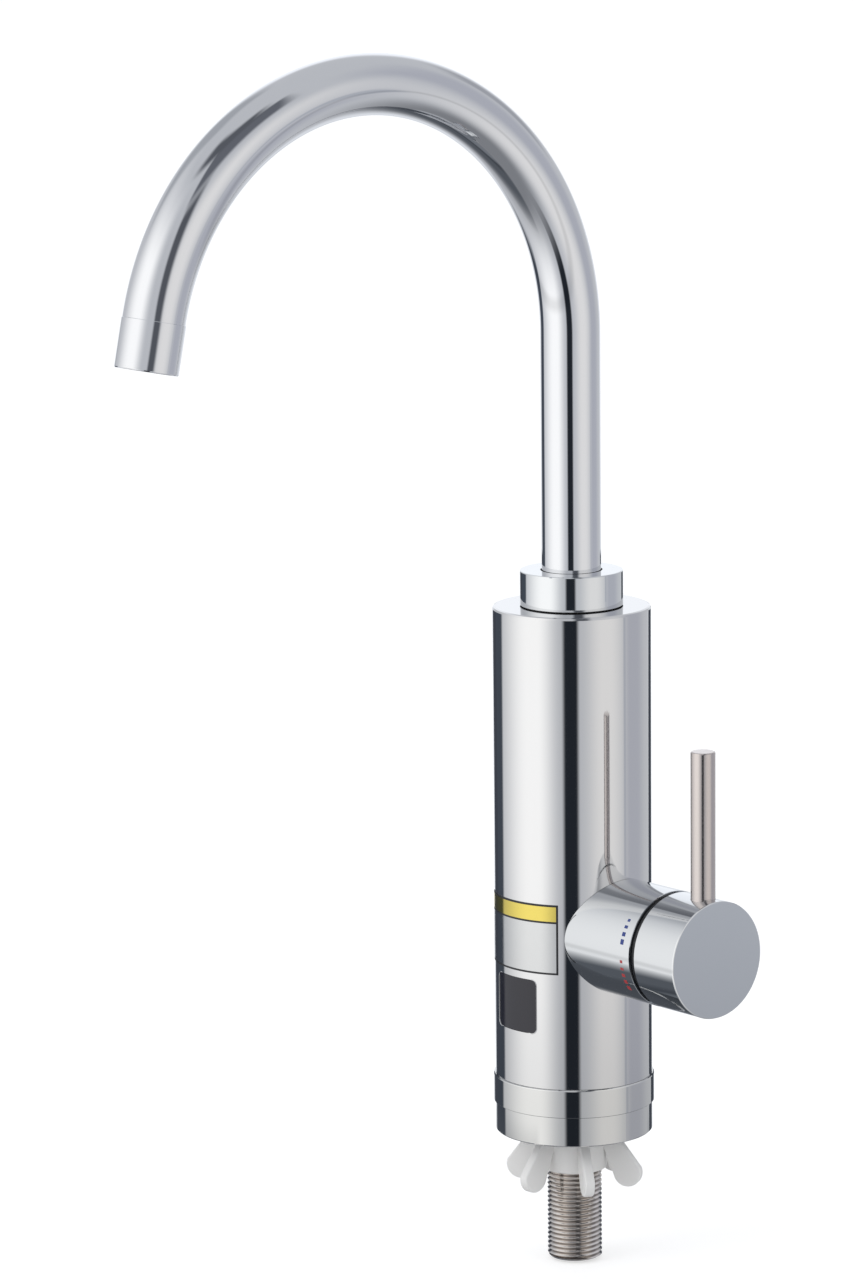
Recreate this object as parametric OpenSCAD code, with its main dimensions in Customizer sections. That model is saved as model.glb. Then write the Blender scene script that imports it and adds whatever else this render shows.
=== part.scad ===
// Electric instant water heater tap: a chromed steel column that holds a small heating tank,
// with a gooseneck spout that swivels, a side valve with a pin lever, a temperature window
// and a threaded tail that a wing nut clamps under the worktop.
// Millimetres. Z points up, z = 0 is the face that rests on the worktop, the window and the
// spout at rest face -Y, and the valve axis runs along +X.

/* [Column] */
// Outer diameter of the steel column
body_d = 60; // [59:0.5:66]
// Height of the column's top above the worktop
body_h = 203.8; // [202:0.2:240]
// Thickness of the column's steel
shell_wall = 1; // [0.6:0.1:1.2]
// Width of the bevel round the column's top edge
top_bevel = 1; // [0.4:0.1:1.6]

/* [Base] */
// Height of the foot
foot_h = 11.2; // [11:0.2:15]
// Height of the band between the foot and the column
band_h = 10.8; // [9:0.2:14]
// How far the band stands out past the column
band_proud = 0.75; // [0.4:0.05:1.5]
// Thickness of the foot's outer wall
foot_wall = 2.2; // [1.8:0.1:2.6]
// Height of the underside of the foot's floor
floor_z = 4; // [3.4:0.1:4.4]
// Thickness of the foot's floor
floor_t = 2.5; // [2:0.1:2.6]
// Distance from the gasket's inner edge in to the circle of the foot's three screws
screw_inset = 3.2; // [3:0.1:3.6]

/* [Threaded tail] */
// Outer diameter of the half inch pipe thread
thread_d = 20.955; // [20.4:0.05:21.2]
// Pitch of the thread
thread_pitch = 1.814; // [1.5:0.05:2]
// How far the tail reaches below the worktop face
tail_drop = 51; // [46:1:70]
// Diameter of the water way through the tail
tail_bore_d = 13; // [10:0.5:14]
// Diameter of the plain pipe above the tail's flange
pipe_d = 17; // [16:0.1:17]

/* [Wing nut] */
// Outer diameter of the nut's hub
nut_hub_d = 25; // [24:0.5:27]
// Height of the nut's hub
nut_hub_h = 13.7; // [10:0.1:16]
// Number of wings
wing_count = 6; // [4:2:6]
// Thickness of a wing
wing_t = 3; // [2:0.1:3.6]
// Distance from the axis to the middle of a wing's round end
wing_reach = 21.8; // [20:0.1:24]
// Radius of a wing's round end
wing_end_r = 5.2; // [4:0.1:5.6]
// Full turns that the nut can be unscrewed
nut_turns = 15; // [4:1:15]

/* [Valve] */
// Height of the valve axis
valve_z = 80.3; // [80:0.1:84]
// Outer diameter of the valve housing and of the knob
knob_d = 44.3; // [43.6:0.1:47]
// Distance from the column's axis to the knob's face
knob_face_x = 81; // [80:0.2:86]
// Length of the knob
knob_len = 21.7; // [21:0.1:23]
// Width of the dark ring between the housing and the knob
ring_gap = 2.3; // [1.6:0.1:3]
// Travel of the valve from off to full hot, in degrees
valve_travel = 90; // [60:5:90]
// Stroke of the switch plunger over that travel
plunger_stroke = 0.8; // [0.5:0.1:1]

/* [Lever] */
// Diameter of the pin lever
lever_d = 9.2; // [8:0.1:10]
// Distance from the valve axis to the lever's tip
lever_reach = 77.9; // [60:0.1:95]
// Distance from the lever's axis back to the knob's face
lever_inset = 7.6; // [7:0.1:8.5]

/* [Spout] */
// Outer diameter of the spout pipe
spout_d = 22.5; // [22:0.1:23]
// Thickness of the spout pipe
spout_wall = 1.2; // [1:0.1:1.5]
// Radius of the gooseneck bend
bend_r = 98; // [80:1:120]
// Height of the bend's centre above the column's top
bend_rise = 103.8; // [60:0.2:140]
// Sweep of the bend, in degrees
bend_sweep = 168; // [150:1:178]
// Diameter of the nozzle sleeve
nozzle_d = 23; // [22.8:0.1:24]
// Length of the nozzle sleeve
nozzle_len = 18; // [16:0.5:24]
// Diameter of the collar round the spout
collar_d = 39; // [37:0.2:42]
// Height of the collar
collar_h = 13.6; // [13.2:0.1:16]

/* [Window and label] */
// Width of the temperature window
window_w = 21.6; // [18:0.1:22]
// Height of the temperature window
window_h = 21; // [18:0.1:22]
// Corner radius of the window
window_r = 2.2; // [1:0.1:3]
// Height of the window's middle
window_z = 53.8; // [53.6:0.1:54.6]
// Half of the angle that the blank label wraps, in degrees
label_half_angle = 38; // [20:1:45]
// Height of the label
label_h = 27; // [20:0.5:30]
// Height of the label's middle
label_z = 80.5; // [79.5:0.1:82]

/* [Heating tank] */
// Outer diameter of the tank
tank_d = 44; // [43.6:0.1:45]
// Thickness of the tank's wall
tank_wall = 3; // [2.6:0.1:3]
// Radius of the heating coil's centre line
coil_r = 14.1; // [14:0.1:14.2]
// Diameter of the heating coil's sheath
sheath_d = 6; // [5:0.1:6.2]
// Turns in each of the coil's two strands
coil_turns = 3; // [2:0.5:3]

/* [Clearances] */
// Radial gap of a turning or sliding fit
running_gap = 0.05; // [0.03:0.01:0.08]
// Radial gap of a part that is pushed into another
seat_gap = 0.1; // [0.05:0.01:0.15]
// Gap between faces that turn past each other
face_gap = 0.2; // [0.1:0.05:0.3]

/* [Hidden] */
$fn = 96;
cut = 1;
body_r = body_d / 2;
shell_in_r = body_r - shell_wall;

// Base
seam = 0.3;
small_bevel = 0.4;
floor_top = floor_z + floor_t;
foot_in_r = body_r - foot_wall;
band_r = body_r + band_proud;
band_z = foot_h + seam;
band_top = band_z + band_h;
band_wall = 1.4;
band_in_r = foot_in_r - band_wall;
band_spigot_h = 6.7;
gasket_w = 4.4;
gasket_in_r = foot_in_r - 2 * seat_gap - gasket_w;
screw_ring_r = gasket_in_r - screw_inset;
flange_af = 22.6;

// Gland for the mains lead, between two wings and beside the tail
gland_angle = 120;
gland_inner_gap = 1.1;
gland_outer_gap = 0.6;
gland_lip = 0.6;
gland_wall = 0.9;
gland_flange_t = 1.5;
gland_flange_r = (gasket_in_r - flange_af / 2 - gland_inner_gap - gland_outer_gap) / 2;
gland_neck_r = gland_flange_r - gland_lip;
gland_bore_r = gland_neck_r - gland_wall;
gland_at_r = gasket_in_r - gland_outer_gap - gland_flange_r;
screw_angles = [60, 180, 300];
screw_r = 1.5;
screw_head_r = 2.8;
screw_head_t = 1.8;
screw_len = 8.5;

// Chassis
chassis_t = 2.5;
chassis_r = band_in_r - 2 * seat_gap;
chassis_top = floor_top + chassis_t;
boss_r = 3;
boss_h = 4.5;

// Tail
thread_r = thread_d / 2;
groove_z = -17;
groove_w = 0.6;
groove_deep = 0.5;
flange_t = 4;
pipe_r = pipe_d / 2;
tail_hole_r = thread_r + 0.2;
block_z = 50;
pipe_top = block_z + 8;

// Wing nut and washer
washer_inset = 1.2;
washer_r = gasket_in_r - washer_inset;
washer_t = 1.5;
washer_z = -0.3 - washer_t;
nut_top = washer_z - seat_gap;
first_wing_angle = -28.1;
wing_drop = 14.8;
wing_end_z = nut_top - wing_drop;
wing_root_r = 3.6;
wing_root_at = 15.4;
wing_root_z = nut_top - wing_root_r;
nut_travel = nut_turns * thread_pitch;

// Valve, with x counted along its axis from the column's axis
knob_r = knob_d / 2;
housing_wall = 2.15;
housing_in_r = knob_r - housing_wall;
web_x = body_r + 0.5;
web_t = 2.5;
knob_back_x = knob_face_x - knob_len;
housing_end_x = knob_back_x - ring_gap;
block_boss_r = 15.2;
block_thread_r = 13;
block_thread_len = 8;
block_end_x = web_x + block_thread_len;
block_back_x = -14;
pocket_r = 10.1;
seat_x = 14;
port_r = 3;
port_offset = 5;
disc_r = 9;
disc_t = 3;
moving_disc_x = seat_x + disc_t + 0.02;
drive_x = moving_disc_x + disc_t + 0.02;
drive_t = 2.4;
drive_r = 8.8;
spindle_r = 4;
cartridge_r = pocket_r - seat_gap;
cartridge_x = seat_x + 1.5;
cartridge_neck_r = 6.5;
flange_r = 12;
cartridge_flange_t = 2;
nut_af = 30;
nut_lip_t = 2;
cartridge_nut_end = block_end_x + cartridge_flange_t + nut_lip_t;
shell_hole_r = housing_in_r - 0.8;

// Switch cam and plunger
cam_x = cartridge_nut_end + 3.9;
cam_t = 2;
cam_r = housing_in_r - 1;
cam_hub_r = 6;
plunger_r = 1.5;
plunger_at_r = 17.2;
ramp_foot = 0.3;
ramp_w = 3;
ramp_margin = 8;
ramp_steps = 24;
plunger_gap = 0.1;
plunger_end_x = cam_x - ramp_foot - plunger_gap;
switch_x = 13.4;
switch_deep = 9;
switch_long = 18;
switch_thick = 6.2;
switch_z = valve_z - plunger_at_r - 1.4;
button_r = 1.1;
button_out = 1.4;
plunger_x = switch_x + switch_deep + button_out + plunger_gap;

// Knob and lever
knob_face_t = 4.2;
knob_wall = 2.55;
knob_hub_r = 9;
lever_r = lever_d / 2;
lever_x = knob_face_x - lever_inset;
lever_seat = knob_r - 1.15;
stud_r = 2.5;
stud_len = 8.5;
stud_boss_r = 6.3;
spindle_end_x = knob_face_x - knob_face_t - 5.8;
grub_r = 2;
grub_x = spindle_end_x - 5.2;
grub_len = 4.8;

// Tank
cap_above_valve = 23.7;
cap_z = valve_z + cap_above_valve;
cap_t = 6;
cap_plug_t = 6;
tank_r = tank_d / 2;
tank_in_r = tank_r - tank_wall;
tank_z = cap_z + cap_t;
tank_below_top = 15.8;
tank_top = body_h - tank_below_top;
tank_roof_t = 4;
tank_inside_top = tank_top - tank_roof_t;
neck_r = 14.5;
neck_out = 10.2;
neck_top = body_h + neck_out;
neck_bore_r = 12;
neck_flange_r = 20;
neck_flange_t = 3;
neck_floor_t = 2;
neck_floor = tank_top + neck_floor_t;
neck_way_r = 7;
block_neck_r = 9.3;
block_socket_r = 8.1;
block_socket_h = 6;
way_r = 2.8;
leg_hole_r = sheath_d / 2 + seat_gap;
leg_nut_af = 9;
leg_nut_t = 4;
leg_out = 7;
leg_end_z = cap_z - leg_out;
coil_bend = 7;
coil_foot_gap = 2;
coil_head_gap = 12.5;
coil_z = cap_z + cap_t + cap_plug_t + coil_foot_gap + coil_bend;
coil_top = tank_inside_top - coil_head_gap;
seal_up = 2.4;
seal_wire_r = 0.6;
seal_z = tank_z + seal_up;
coil_pitch = (coil_top - coil_z) / coil_turns;
cutout_z = (tank_z + tank_top) / 2;
cutout_r = 7;
cutout_t = 3;
pad_out = 0.3;
pad_y = tank_r + pad_out;
probe_drop = 6;
probe_z = tank_inside_top - probe_drop;
probe_r = 2;

// Spout
spout_r = spout_d / 2;
bend_z = body_h + bend_rise;
insert_z = neck_floor + 0.3;
insert_top = body_h + 4.2;
insert_r = neck_bore_r - 1.6 * running_gap;
ring_groove_w = 2.2;
ring_wire_r = 0.75;
spigot_len = 8;
nozzle_r = nozzle_d / 2;
nozzle_in_r = spout_r - spout_wall - 0.1;
nozzle_spigot = 3;
aerator_len = 9;
aerator_inset = 0.6;
collar_lip = 3.2;
collar_foot = 0.3;
collar_foot_h = 2.6;

// Display
lens_t = 2.2;
lens_gap = 0.15;
lens_flange = 1.5;
display_w = 20;
display_h = 12;
display_t = 5;
display_gap = 0.25;
display_y = sqrt(pow(shell_in_r - lens_t, 2) - pow(display_w / 2, 2)) - display_gap;
board_t = 1.4;
card_w = 28;
card_h = 22;

// Shapes that several pieces share

// A round tube that stands on z = 0
module tube(outer_r, inner_r, height) {
    difference() {
        cylinder(r = outer_r, h = height);
        translate([0, 0, -cut])
            cylinder(r = inner_r, h = height + 2 * cut);
    }
}

// A rubber ring of round section
module o_ring(middle_r, wire_r) {
    rotate_extrude()
        translate([middle_r, 0])
            circle(r = wire_r, $fn = 24);
}

// Places its children on the valve axis: their z becomes +X and their x points down
module on_valve_axis(along = 0) {
    translate([along, 0, valve_z])
        rotate([0, 90, 0])
            children();
}

// Places its children at the end of the gooseneck, with z along the flow of the water
module at_spout_end(along = 0) {
    translate([0, -bend_r, bend_z])
        rotate([bend_sweep, 0, 0])
            translate([0, bend_r, along])
                children();
}

// Places its children at the lead's gland
module at_gland() {
    rotate([0, 0, gland_angle])
        translate([gland_at_r, 0, 0])
            children();
}

// A flat shape with round corners, about its middle
module round_corners(w, h, r) {
    square([w - 2 * r, h], center = true);
    square([w, h - 2 * r], center = true);
    for (x = [-1, 1], y = [-1, 1])
        translate([x * (w / 2 - r), y * (h / 2 - r)])
            circle(r = r, $fn = 32);
}

// The window's outline as a bar along -Y, grown by a margin on each side
module window_bar(margin) {
    translate([0, 0, window_z])
        rotate([90, 0, 0])
            linear_extrude(body_r + 5)
                round_corners(window_w + 2 * margin, window_h + 2 * margin, window_r);
}

// A hexagon bar whose flats face the local x axis
module hexagon(across_flats, height) {
    rotate([0, 0, 30])
        cylinder(r = across_flats / 2 / cos(30), h = height, $fn = 6);
}

// A tube of round section along a list of points
function unit(v) = v / norm(v);
function heading(p, i) = unit(p[min(i + 1, len(p) - 1)] - p[max(i - 1, 0)]);
function squared_to(n, t) = unit(n - t * (n * t));
function side_vectors(p, first) = [
    for (i = 0, n = squared_to(first, heading(p, 0));
         i < len(p);
         i = i + 1, n = squared_to(n, heading(p, i)))
        n
];
module swept_tube(p, r, sides, first) {
    n = side_vectors(p, first);
    rings = [
        for (i = [0 : len(p) - 1], k = [0 : sides - 1])
            p[i] + r * (cos(360 * k / sides) * n[i]
                + sin(360 * k / sides) * cross(heading(p, i), n[i]))
    ];
    walls = [
        for (i = [0 : len(p) - 2], k = [0 : sides - 1])
            let (a = i * sides + k, b = i * sides + (k + 1) % sides)
                [a, a + sides, b + sides, b]
    ];
    start = [for (k = [0 : sides - 1]) k];
    end = [for (k = [sides - 1 : -1 : 0]) (len(p) - 1) * sides + k];
    polyhedron(points = rings, faces = concat(walls, [start], [end]), convexity = 10);
}

// Column and base

// Drawn steel can, open at the bottom, with the window, the valve hole and the neck hole
module body_shell() {
    color("silver")
    difference() {
        rotate_extrude()
            polygon([
                [shell_in_r, band_top],
                [body_r, band_top],
                [body_r, body_h - top_bevel],
                [body_r - top_bevel, body_h],
                [neck_r + 0.2, body_h],
                [neck_r + 0.2, body_h - shell_wall],
                [shell_in_r, body_h - shell_wall]
            ]);
        window_bar(0);
        on_valve_axis()
            cylinder(r = shell_hole_r, h = body_r + cut);
    }
}

// Chromed band that the column stands on, with a spigot up into it and one down into the foot
module base_band() {
    lip_r = body_r - 0.7;
    foot_spigot_r = foot_in_r - seat_gap;
    column_spigot_r = shell_in_r - seat_gap;
    color("silver")
        rotate_extrude()
            polygon([
                [band_in_r, foot_h - 4],
                [foot_spigot_r, foot_h - 4],
                [foot_spigot_r, foot_h],
                [lip_r, foot_h],
                [lip_r, band_z],
                [band_r, band_z],
                [band_r, band_top - small_bevel],
                [band_r - small_bevel, band_top],
                [column_spigot_r, band_top],
                [column_spigot_r, band_top + band_spigot_h],
                [band_in_r, band_top + band_spigot_h]
            ]);
}

// Chromed foot with the floor that the tail's flange clamps
module base_foot() {
    color("silver")
    difference() {
        rotate_extrude()
            polygon([
                [tail_hole_r, floor_z],
                [foot_in_r, floor_z],
                [foot_in_r, 0],
                [body_r - small_bevel, 0],
                [body_r, small_bevel],
                [body_r, foot_h],
                [foot_in_r, foot_h],
                [foot_in_r, floor_top],
                [tail_hole_r, floor_top]
            ]);
        at_gland()
            cylinder(r = gland_neck_r + seat_gap, h = foot_h);
        for (a = screw_angles)
            rotate([0, 0, a])
                translate([screw_ring_r, 0, 0])
                    cylinder(r = screw_r + seat_gap, h = foot_h);
    }
}

// Flat rubber seal under the foot
module deck_gasket() {
    color("dimgray")
        tube(foot_in_r - 2 * seat_gap, gasket_in_r, floor_z - seat_gap);
}

// Rubber bush that the mains lead leaves through
module cable_gland() {
    lower_lip_z = floor_z - gland_flange_t - seat_gap;
    color("black")
        at_gland()
        difference() {
            union() {
                translate([0, 0, lower_lip_z])
                    cylinder(r = gland_flange_r, h = gland_flange_t);
                translate([0, 0, lower_lip_z])
                    cylinder(r = gland_neck_r, h = 2 * gland_flange_t + floor_t + 2 * seat_gap);
                translate([0, 0, floor_top + seat_gap])
                    cylinder(r = gland_flange_r, h = gland_flange_t);
            }
            translate([0, 0, -cut])
                cylinder(r = gland_bore_r, h = foot_h);
        }
}

// Three screws that draw the foot and the chassis together
module base_screws() {
    color("silver")
        for (a = screw_angles)
            rotate([0, 0, a])
                translate([screw_ring_r, 0, floor_z])
                    union() {
                        translate([0, 0, -screw_head_t])
                            cylinder(r = screw_head_r, h = screw_head_t);
                        translate([0, 0, -cut])
                            cylinder(r = screw_r, h = screw_len + cut);
                    }
}

// Moulded frame on the foot's floor, with slotted rails for the control board
module chassis() {
    rail_w = 3.4;
    rail_grip = 1;
    rail_deep = 4.8;
    rail_h = board_h + 2;
    rail_x = board_half_w - rail_grip;
    rail_y = board_y + board_thick / 2 - rail_deep / 2;
    color("ivory")
    difference() {
        union() {
            translate([0, 0, floor_top])
                cylinder(r = chassis_r, h = chassis_t);
            for (a = screw_angles)
                rotate([0, 0, a])
                    translate([screw_ring_r, 0, chassis_top - cut])
                        cylinder(r = boss_r, h = boss_h + cut);
            for (side = [-1, 1])
                translate([side > 0 ? rail_x : -rail_x - rail_w, rail_y, chassis_top - cut])
                    cube([rail_w, rail_deep, rail_h + cut]);
        }
        translate([0, 0, floor_top - cut])
            cylinder(r = flange_af / 2 / cos(30) + 0.5, h = chassis_t + 2 * cut);
        translate([0, 0, floor_top - cut])
            at_gland()
                cylinder(r = gland_flange_r + 0.4, h = chassis_t + 2 * cut);
        for (a = screw_angles)
            rotate([0, 0, a])
                translate([screw_ring_r, 0, floor_top - cut])
                    cylinder(r = screw_r + running_gap, h = boss_h + chassis_t + cut);
        translate([-board_half_w - seat_gap, board_y - seat_gap, board_z - seat_gap])
            cube([2 * (board_half_w + seat_gap), board_thick + 2 * seat_gap, rail_h + 20]);
    }
}

// Tail and wing nut

// Steel tail: the thread's outer size with a relief groove, a hexagon flange on the floor
// and the pipe up to the valve
module threaded_tail() {
    end_bevel = 1;
    color("silver")
    difference() {
        union() {
            rotate_extrude()
                polygon([
                    [0, -tail_drop],
                    [thread_r - end_bevel, -tail_drop],
                    [thread_r, end_bevel - tail_drop],
                    [thread_r, groove_z],
                    [thread_r - groove_deep, groove_z],
                    [thread_r - groove_deep, groove_z + groove_w],
                    [thread_r, groove_z + groove_w],
                    [thread_r, floor_top + cut],
                    [pipe_r, floor_top + cut],
                    [pipe_r, pipe_top],
                    [0, pipe_top]
                ]);
            translate([0, 0, floor_top])
                hexagon(flange_af, flange_t);
        }
        translate([0, 0, -tail_drop - cut])
            cylinder(d = tail_bore_d, h = tail_drop + pipe_top + 2 * cut);
    }
}

// Steel horseshoe washer, open on one side so that the lead passes
module clamp_washer() {
    slot_half = gland_bore_r + 0.9;
    color("silver")
    translate([0, 0, washer_z])
        difference() {
            cylinder(r = washer_r, h = washer_t);
            translate([0, 0, -cut])
                cylinder(r = thread_r + running_gap, h = washer_t + 2 * cut);
            rotate([0, 0, gland_angle])
                translate([0, -slot_half, -cut])
                    cube([washer_r + cut, 2 * slot_half, washer_t + 2 * cut]);
        }
}

// Nylon nut: a hub with wings that lean out to a round end
module wing_nut() {
    color("white")
    difference() {
        union() {
            translate([0, 0, nut_top - nut_hub_h])
                cylinder(d = nut_hub_d, h = nut_hub_h);
            for (i = [0 : wing_count - 1])
                rotate([90, 0, first_wing_angle + i * 360 / wing_count])
                    translate([0, 0, -wing_t / 2])
                        linear_extrude(wing_t)
                            wing_outline();
        }
        translate([0, 0, nut_top - nut_hub_h - cut])
            cylinder(r = thread_r + running_gap, h = nut_hub_h + 2 * cut);
    }
}

// One wing seen from the side, with x outwards from the nut's axis
module wing_outline() {
    hull() {
        translate([wing_reach, wing_end_z])
            circle(r = wing_end_r, $fn = 32);
        translate([wing_root_at, wing_root_z])
            circle(r = wing_root_r, $fn = 32);
    }
}

// Valve

// Brass block: a cross of an upright tube and a side boss, with the two water ways
module valve_block() {
    way_half = 5;
    color("goldenrod")
    difference() {
        union() {
            translate([0, 0, block_z])
                cylinder(r = block_thread_r, h = valve_z - block_z);
            translate([0, 0, valve_z])
                cylinder(r = block_neck_r, h = cap_z - valve_z);
            on_valve_axis(block_back_x)
                cylinder(r = block_boss_r, h = web_x - block_back_x);
            on_valve_axis()
                cylinder(r = block_thread_r, h = block_end_x);
        }
        translate([0, 0, block_z - cut])
            cylinder(r = pipe_r + seat_gap, h = pipe_top - block_z + cut);
        translate([0, 0, block_z])
            cylinder(r = way_half, h = valve_z - port_offset + port_r - block_z);
        translate([0, 0, valve_z + port_offset - port_r])
            cylinder(r = way_half, h = cap_z - valve_z);
        translate([0, 0, cap_z - block_socket_h])
            cylinder(r = block_socket_r, h = block_socket_h + cut);
        for (side = [-1, 1])
            translate([0, 0, side * port_offset])
                on_valve_axis()
                    cylinder(r = port_r, h = seat_x + cut);
        on_valve_axis(seat_x)
            cylinder(r = pocket_r, h = block_end_x);
    }
}

// Rubber ring between the tail's pipe and the block
module tail_seal() {
    color("black")
        translate([0, 0, block_z - 1.2])
            tube(block_thread_r - 1, pipe_r + seat_gap, 1.2);
}

// Chromed housing with a saddle that follows the column and a web that the nut clamps
module valve_housing() {
    saddle_gap = 0.15;
    color("silver")
    difference() {
        on_valve_axis()
            difference() {
                cylinder(r = knob_r, h = housing_end_x);
                translate([0, 0, -cut])
                    cylinder(r = housing_in_r, h = web_x + cut);
                translate([0, 0, web_x + web_t])
                    cylinder(r = housing_in_r, h = housing_end_x);
                cylinder(r = block_thread_r + seat_gap, h = housing_end_x);
                translate([plunger_at_r, 0, 0])
                    cylinder(r = plunger_r + running_gap, h = housing_end_x);
            }
        translate([0, 0, valve_z - knob_r - cut])
            cylinder(r = body_r + saddle_gap, h = 2 * (knob_r + cut));
    }
}

// Brass headwork that holds the discs and guides the spindle
module cartridge_body() {
    cup_r = disc_r + 0.3;
    seal_x = cartridge_x + 11;
    color("goldenrod")
        on_valve_axis()
        difference() {
            union() {
                translate([0, 0, cartridge_x])
                    cylinder(r = cartridge_r, h = block_end_x - cartridge_x);
                translate([0, 0, block_end_x])
                    cylinder(r = flange_r, h = cartridge_flange_t);
                translate([0, 0, block_end_x])
                    cylinder(r = cartridge_neck_r, h = cartridge_nut_end + 2 - block_end_x);
            }
            translate([0, 0, cartridge_x - cut])
                cylinder(r = cup_r, h = drive_x + drive_t + 0.3 - cartridge_x + cut);
            cylinder(r = spindle_r + running_gap, h = cartridge_nut_end + 5);
            translate([0, 0, seal_x])
                tube(cartridge_r + cut, cartridge_r - 1.6, 2);
        }
}

// Rubber ring round the headwork
module cartridge_seal() {
    color("black")
        on_valve_axis(cartridge_x + 12)
            o_ring(cartridge_r - 0.75, 0.8);
}

// Ceramic disc with the two ports, fixed in the block
module fixed_disc() {
    color("white")
        on_valve_axis(seat_x)
        difference() {
            cylinder(r = disc_r, h = disc_t);
            for (side = [-1, 1])
                translate([side * port_offset, 0, -cut])
                    cylinder(r = port_r - 0.4, h = disc_t + 2 * cut);
        }
}

// Ceramic disc with one channel, which joins the two ports when it has turned
module moving_disc() {
    channel_r = 2.5;
    channel_deep = 2;
    color("white")
        on_valve_axis(moving_disc_x)
        difference() {
            cylinder(r = disc_r, h = disc_t);
            for (side = [-1, 1])
                translate([0, side * port_offset, -cut])
                    cylinder(r = channel_r, h = channel_deep + cut);
            translate([-channel_r, -port_offset, -cut])
                cube([2 * channel_r, 2 * port_offset, channel_deep + cut]);
        }
}

// Brass spindle that turns the moving disc
module spindle() {
    color("goldenrod")
        on_valve_axis()
        union() {
            translate([0, 0, drive_x])
                cylinder(r = drive_r, h = drive_t);
            translate([0, 0, drive_x])
                cylinder(r = spindle_r, h = spindle_end_x - drive_x);
        }
}

// Hexagon nut that clamps the housing's web and the headwork's flange
module cartridge_nut() {
    start = web_x + web_t;
    color("goldenrod")
        on_valve_axis()
        difference() {
            translate([0, 0, start])
                hexagon(nut_af, cartridge_nut_end - start);
            translate([0, 0, start - cut])
                cylinder(r = block_thread_r + seat_gap, h = cartridge_nut_end - nut_lip_t - start + cut);
            cylinder(r = cartridge_neck_r + 0.3, h = cartridge_nut_end + cut);
        }
}

// Black nylon ring between the housing and the knob
module bearing_ring() {
    ring_in_r = housing_in_r - 2.5;
    color([0.05, 0.05, 0.06])
        on_valve_axis()
        union() {
            translate([0, 0, housing_end_x - 4])
                tube(housing_in_r - seat_gap, ring_in_r, 4);
            translate([0, 0, housing_end_x])
                tube(knob_r - 1, ring_in_r, ring_gap - face_gap);
        }
}

// Disc on the spindle with a face ramp that presses the switch as the knob turns
function ramp_angle(i) = ramp_margin - i * (valve_travel + 2 * ramp_margin) / ramp_steps;
function ramp_height(i) = ramp_foot - plunger_stroke * ramp_angle(i) / valve_travel;
module face_ramp() {
    sunk = 0.6;
    in_r = plunger_at_r - ramp_w / 2;
    out_r = in_r + ramp_w;
    corners = [
        for (i = [0 : ramp_steps])
            let (a = ramp_angle(i), top = -ramp_height(i))
                each [
                    [in_r * cos(a), in_r * sin(a), top],
                    [out_r * cos(a), out_r * sin(a), top],
                    [out_r * cos(a), out_r * sin(a), sunk],
                    [in_r * cos(a), in_r * sin(a), sunk]
                ]
    ];
    walls = [
        for (i = [0 : ramp_steps - 1], k = [0 : 3])
            let (a = 4 * i + k, b = 4 * i + (k + 1) % 4)
                [a, a + 4, b + 4, b]
    ];
    last = 4 * ramp_steps;
    polyhedron(points = corners, faces = concat(walls, [[0, 1, 2, 3]],
        [[last + 3, last + 2, last + 1, last]]), convexity = 4);
}
module switch_cam() {
    color("dimgray")
        on_valve_axis(cam_x)
        difference() {
            union() {
                cylinder(r = cam_r, h = cam_t);
                cylinder(r = cam_hub_r, h = cam_t + 3);
                face_ramp();
            }
            translate([0, 0, -cut])
                cylinder(r = spindle_r + running_gap, h = cam_t + 5);
        }
}

// Plastic pin between the cam and the switch
module switch_plunger() {
    color("white")
        on_valve_axis(plunger_x)
            translate([plunger_at_r, 0, 0])
                cylinder(r = plunger_r, h = plunger_end_x - plunger_x);
}

// Small switch under the valve block, with a blind hole for its button
module microswitch() {
    color([0.1, 0.1, 0.12])
    difference() {
        translate([switch_x, -switch_long / 2, switch_z - switch_thick / 2])
            cube([switch_deep, switch_long, switch_thick]);
        on_valve_axis(switch_x + switch_deep - 2.6)
            translate([plunger_at_r, 0, 0])
                cylinder(r = button_r + running_gap, h = 5);
    }
}

// Button of the switch, pressed by the plunger
module switch_button() {
    color("tomato")
        on_valve_axis(switch_x + switch_deep - 1.2)
            translate([plunger_at_r, 0, 0])
                cylinder(r = button_r, h = button_out + 1.2);
}

// Knob and lever

// Chromed knob, hollow at the back, with a hub for the spindle and a boss for the lever's stud
module knob() {
    color("silver")
        on_valve_axis()
        difference() {
            union() {
                rotate_extrude()
                    polygon([
                        [0, knob_face_x - knob_face_t],
                        [knob_r - knob_wall, knob_face_x - knob_face_t],
                        [knob_r - knob_wall, knob_back_x],
                        [knob_r, knob_back_x],
                        [knob_r, knob_face_x - small_bevel],
                        [knob_r - small_bevel, knob_face_x],
                        [0, knob_face_x]
                    ]);
                translate([0, 0, knob_back_x + 1])
                    cylinder(r = knob_hub_r, h = knob_len - knob_face_t);
                translate([-knob_hub_r + 2, 0, lever_x])
                    rotate([0, -90, 0])
                        cylinder(r = stud_boss_r, h = knob_r - knob_hub_r);
            }
            translate([0, 0, knob_back_x - cut])
                cylinder(r = spindle_r + running_gap, h = spindle_end_x + seat_gap - knob_back_x + cut);
            translate([-lever_seat, 0, lever_x])
                rotate([0, -90, 0])
                    cylinder(r = lever_r + running_gap, h = knob_r);
            translate([-lever_seat + stud_len + seat_gap, 0, lever_x])
                rotate([0, -90, 0])
                    cylinder(r = stud_r + running_gap, h = knob_r);
            translate([0, 0, grub_x])
                rotate([0, 90, 0])
                    cylinder(r = grub_r + running_gap, h = knob_r + cut);
        }
}

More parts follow.
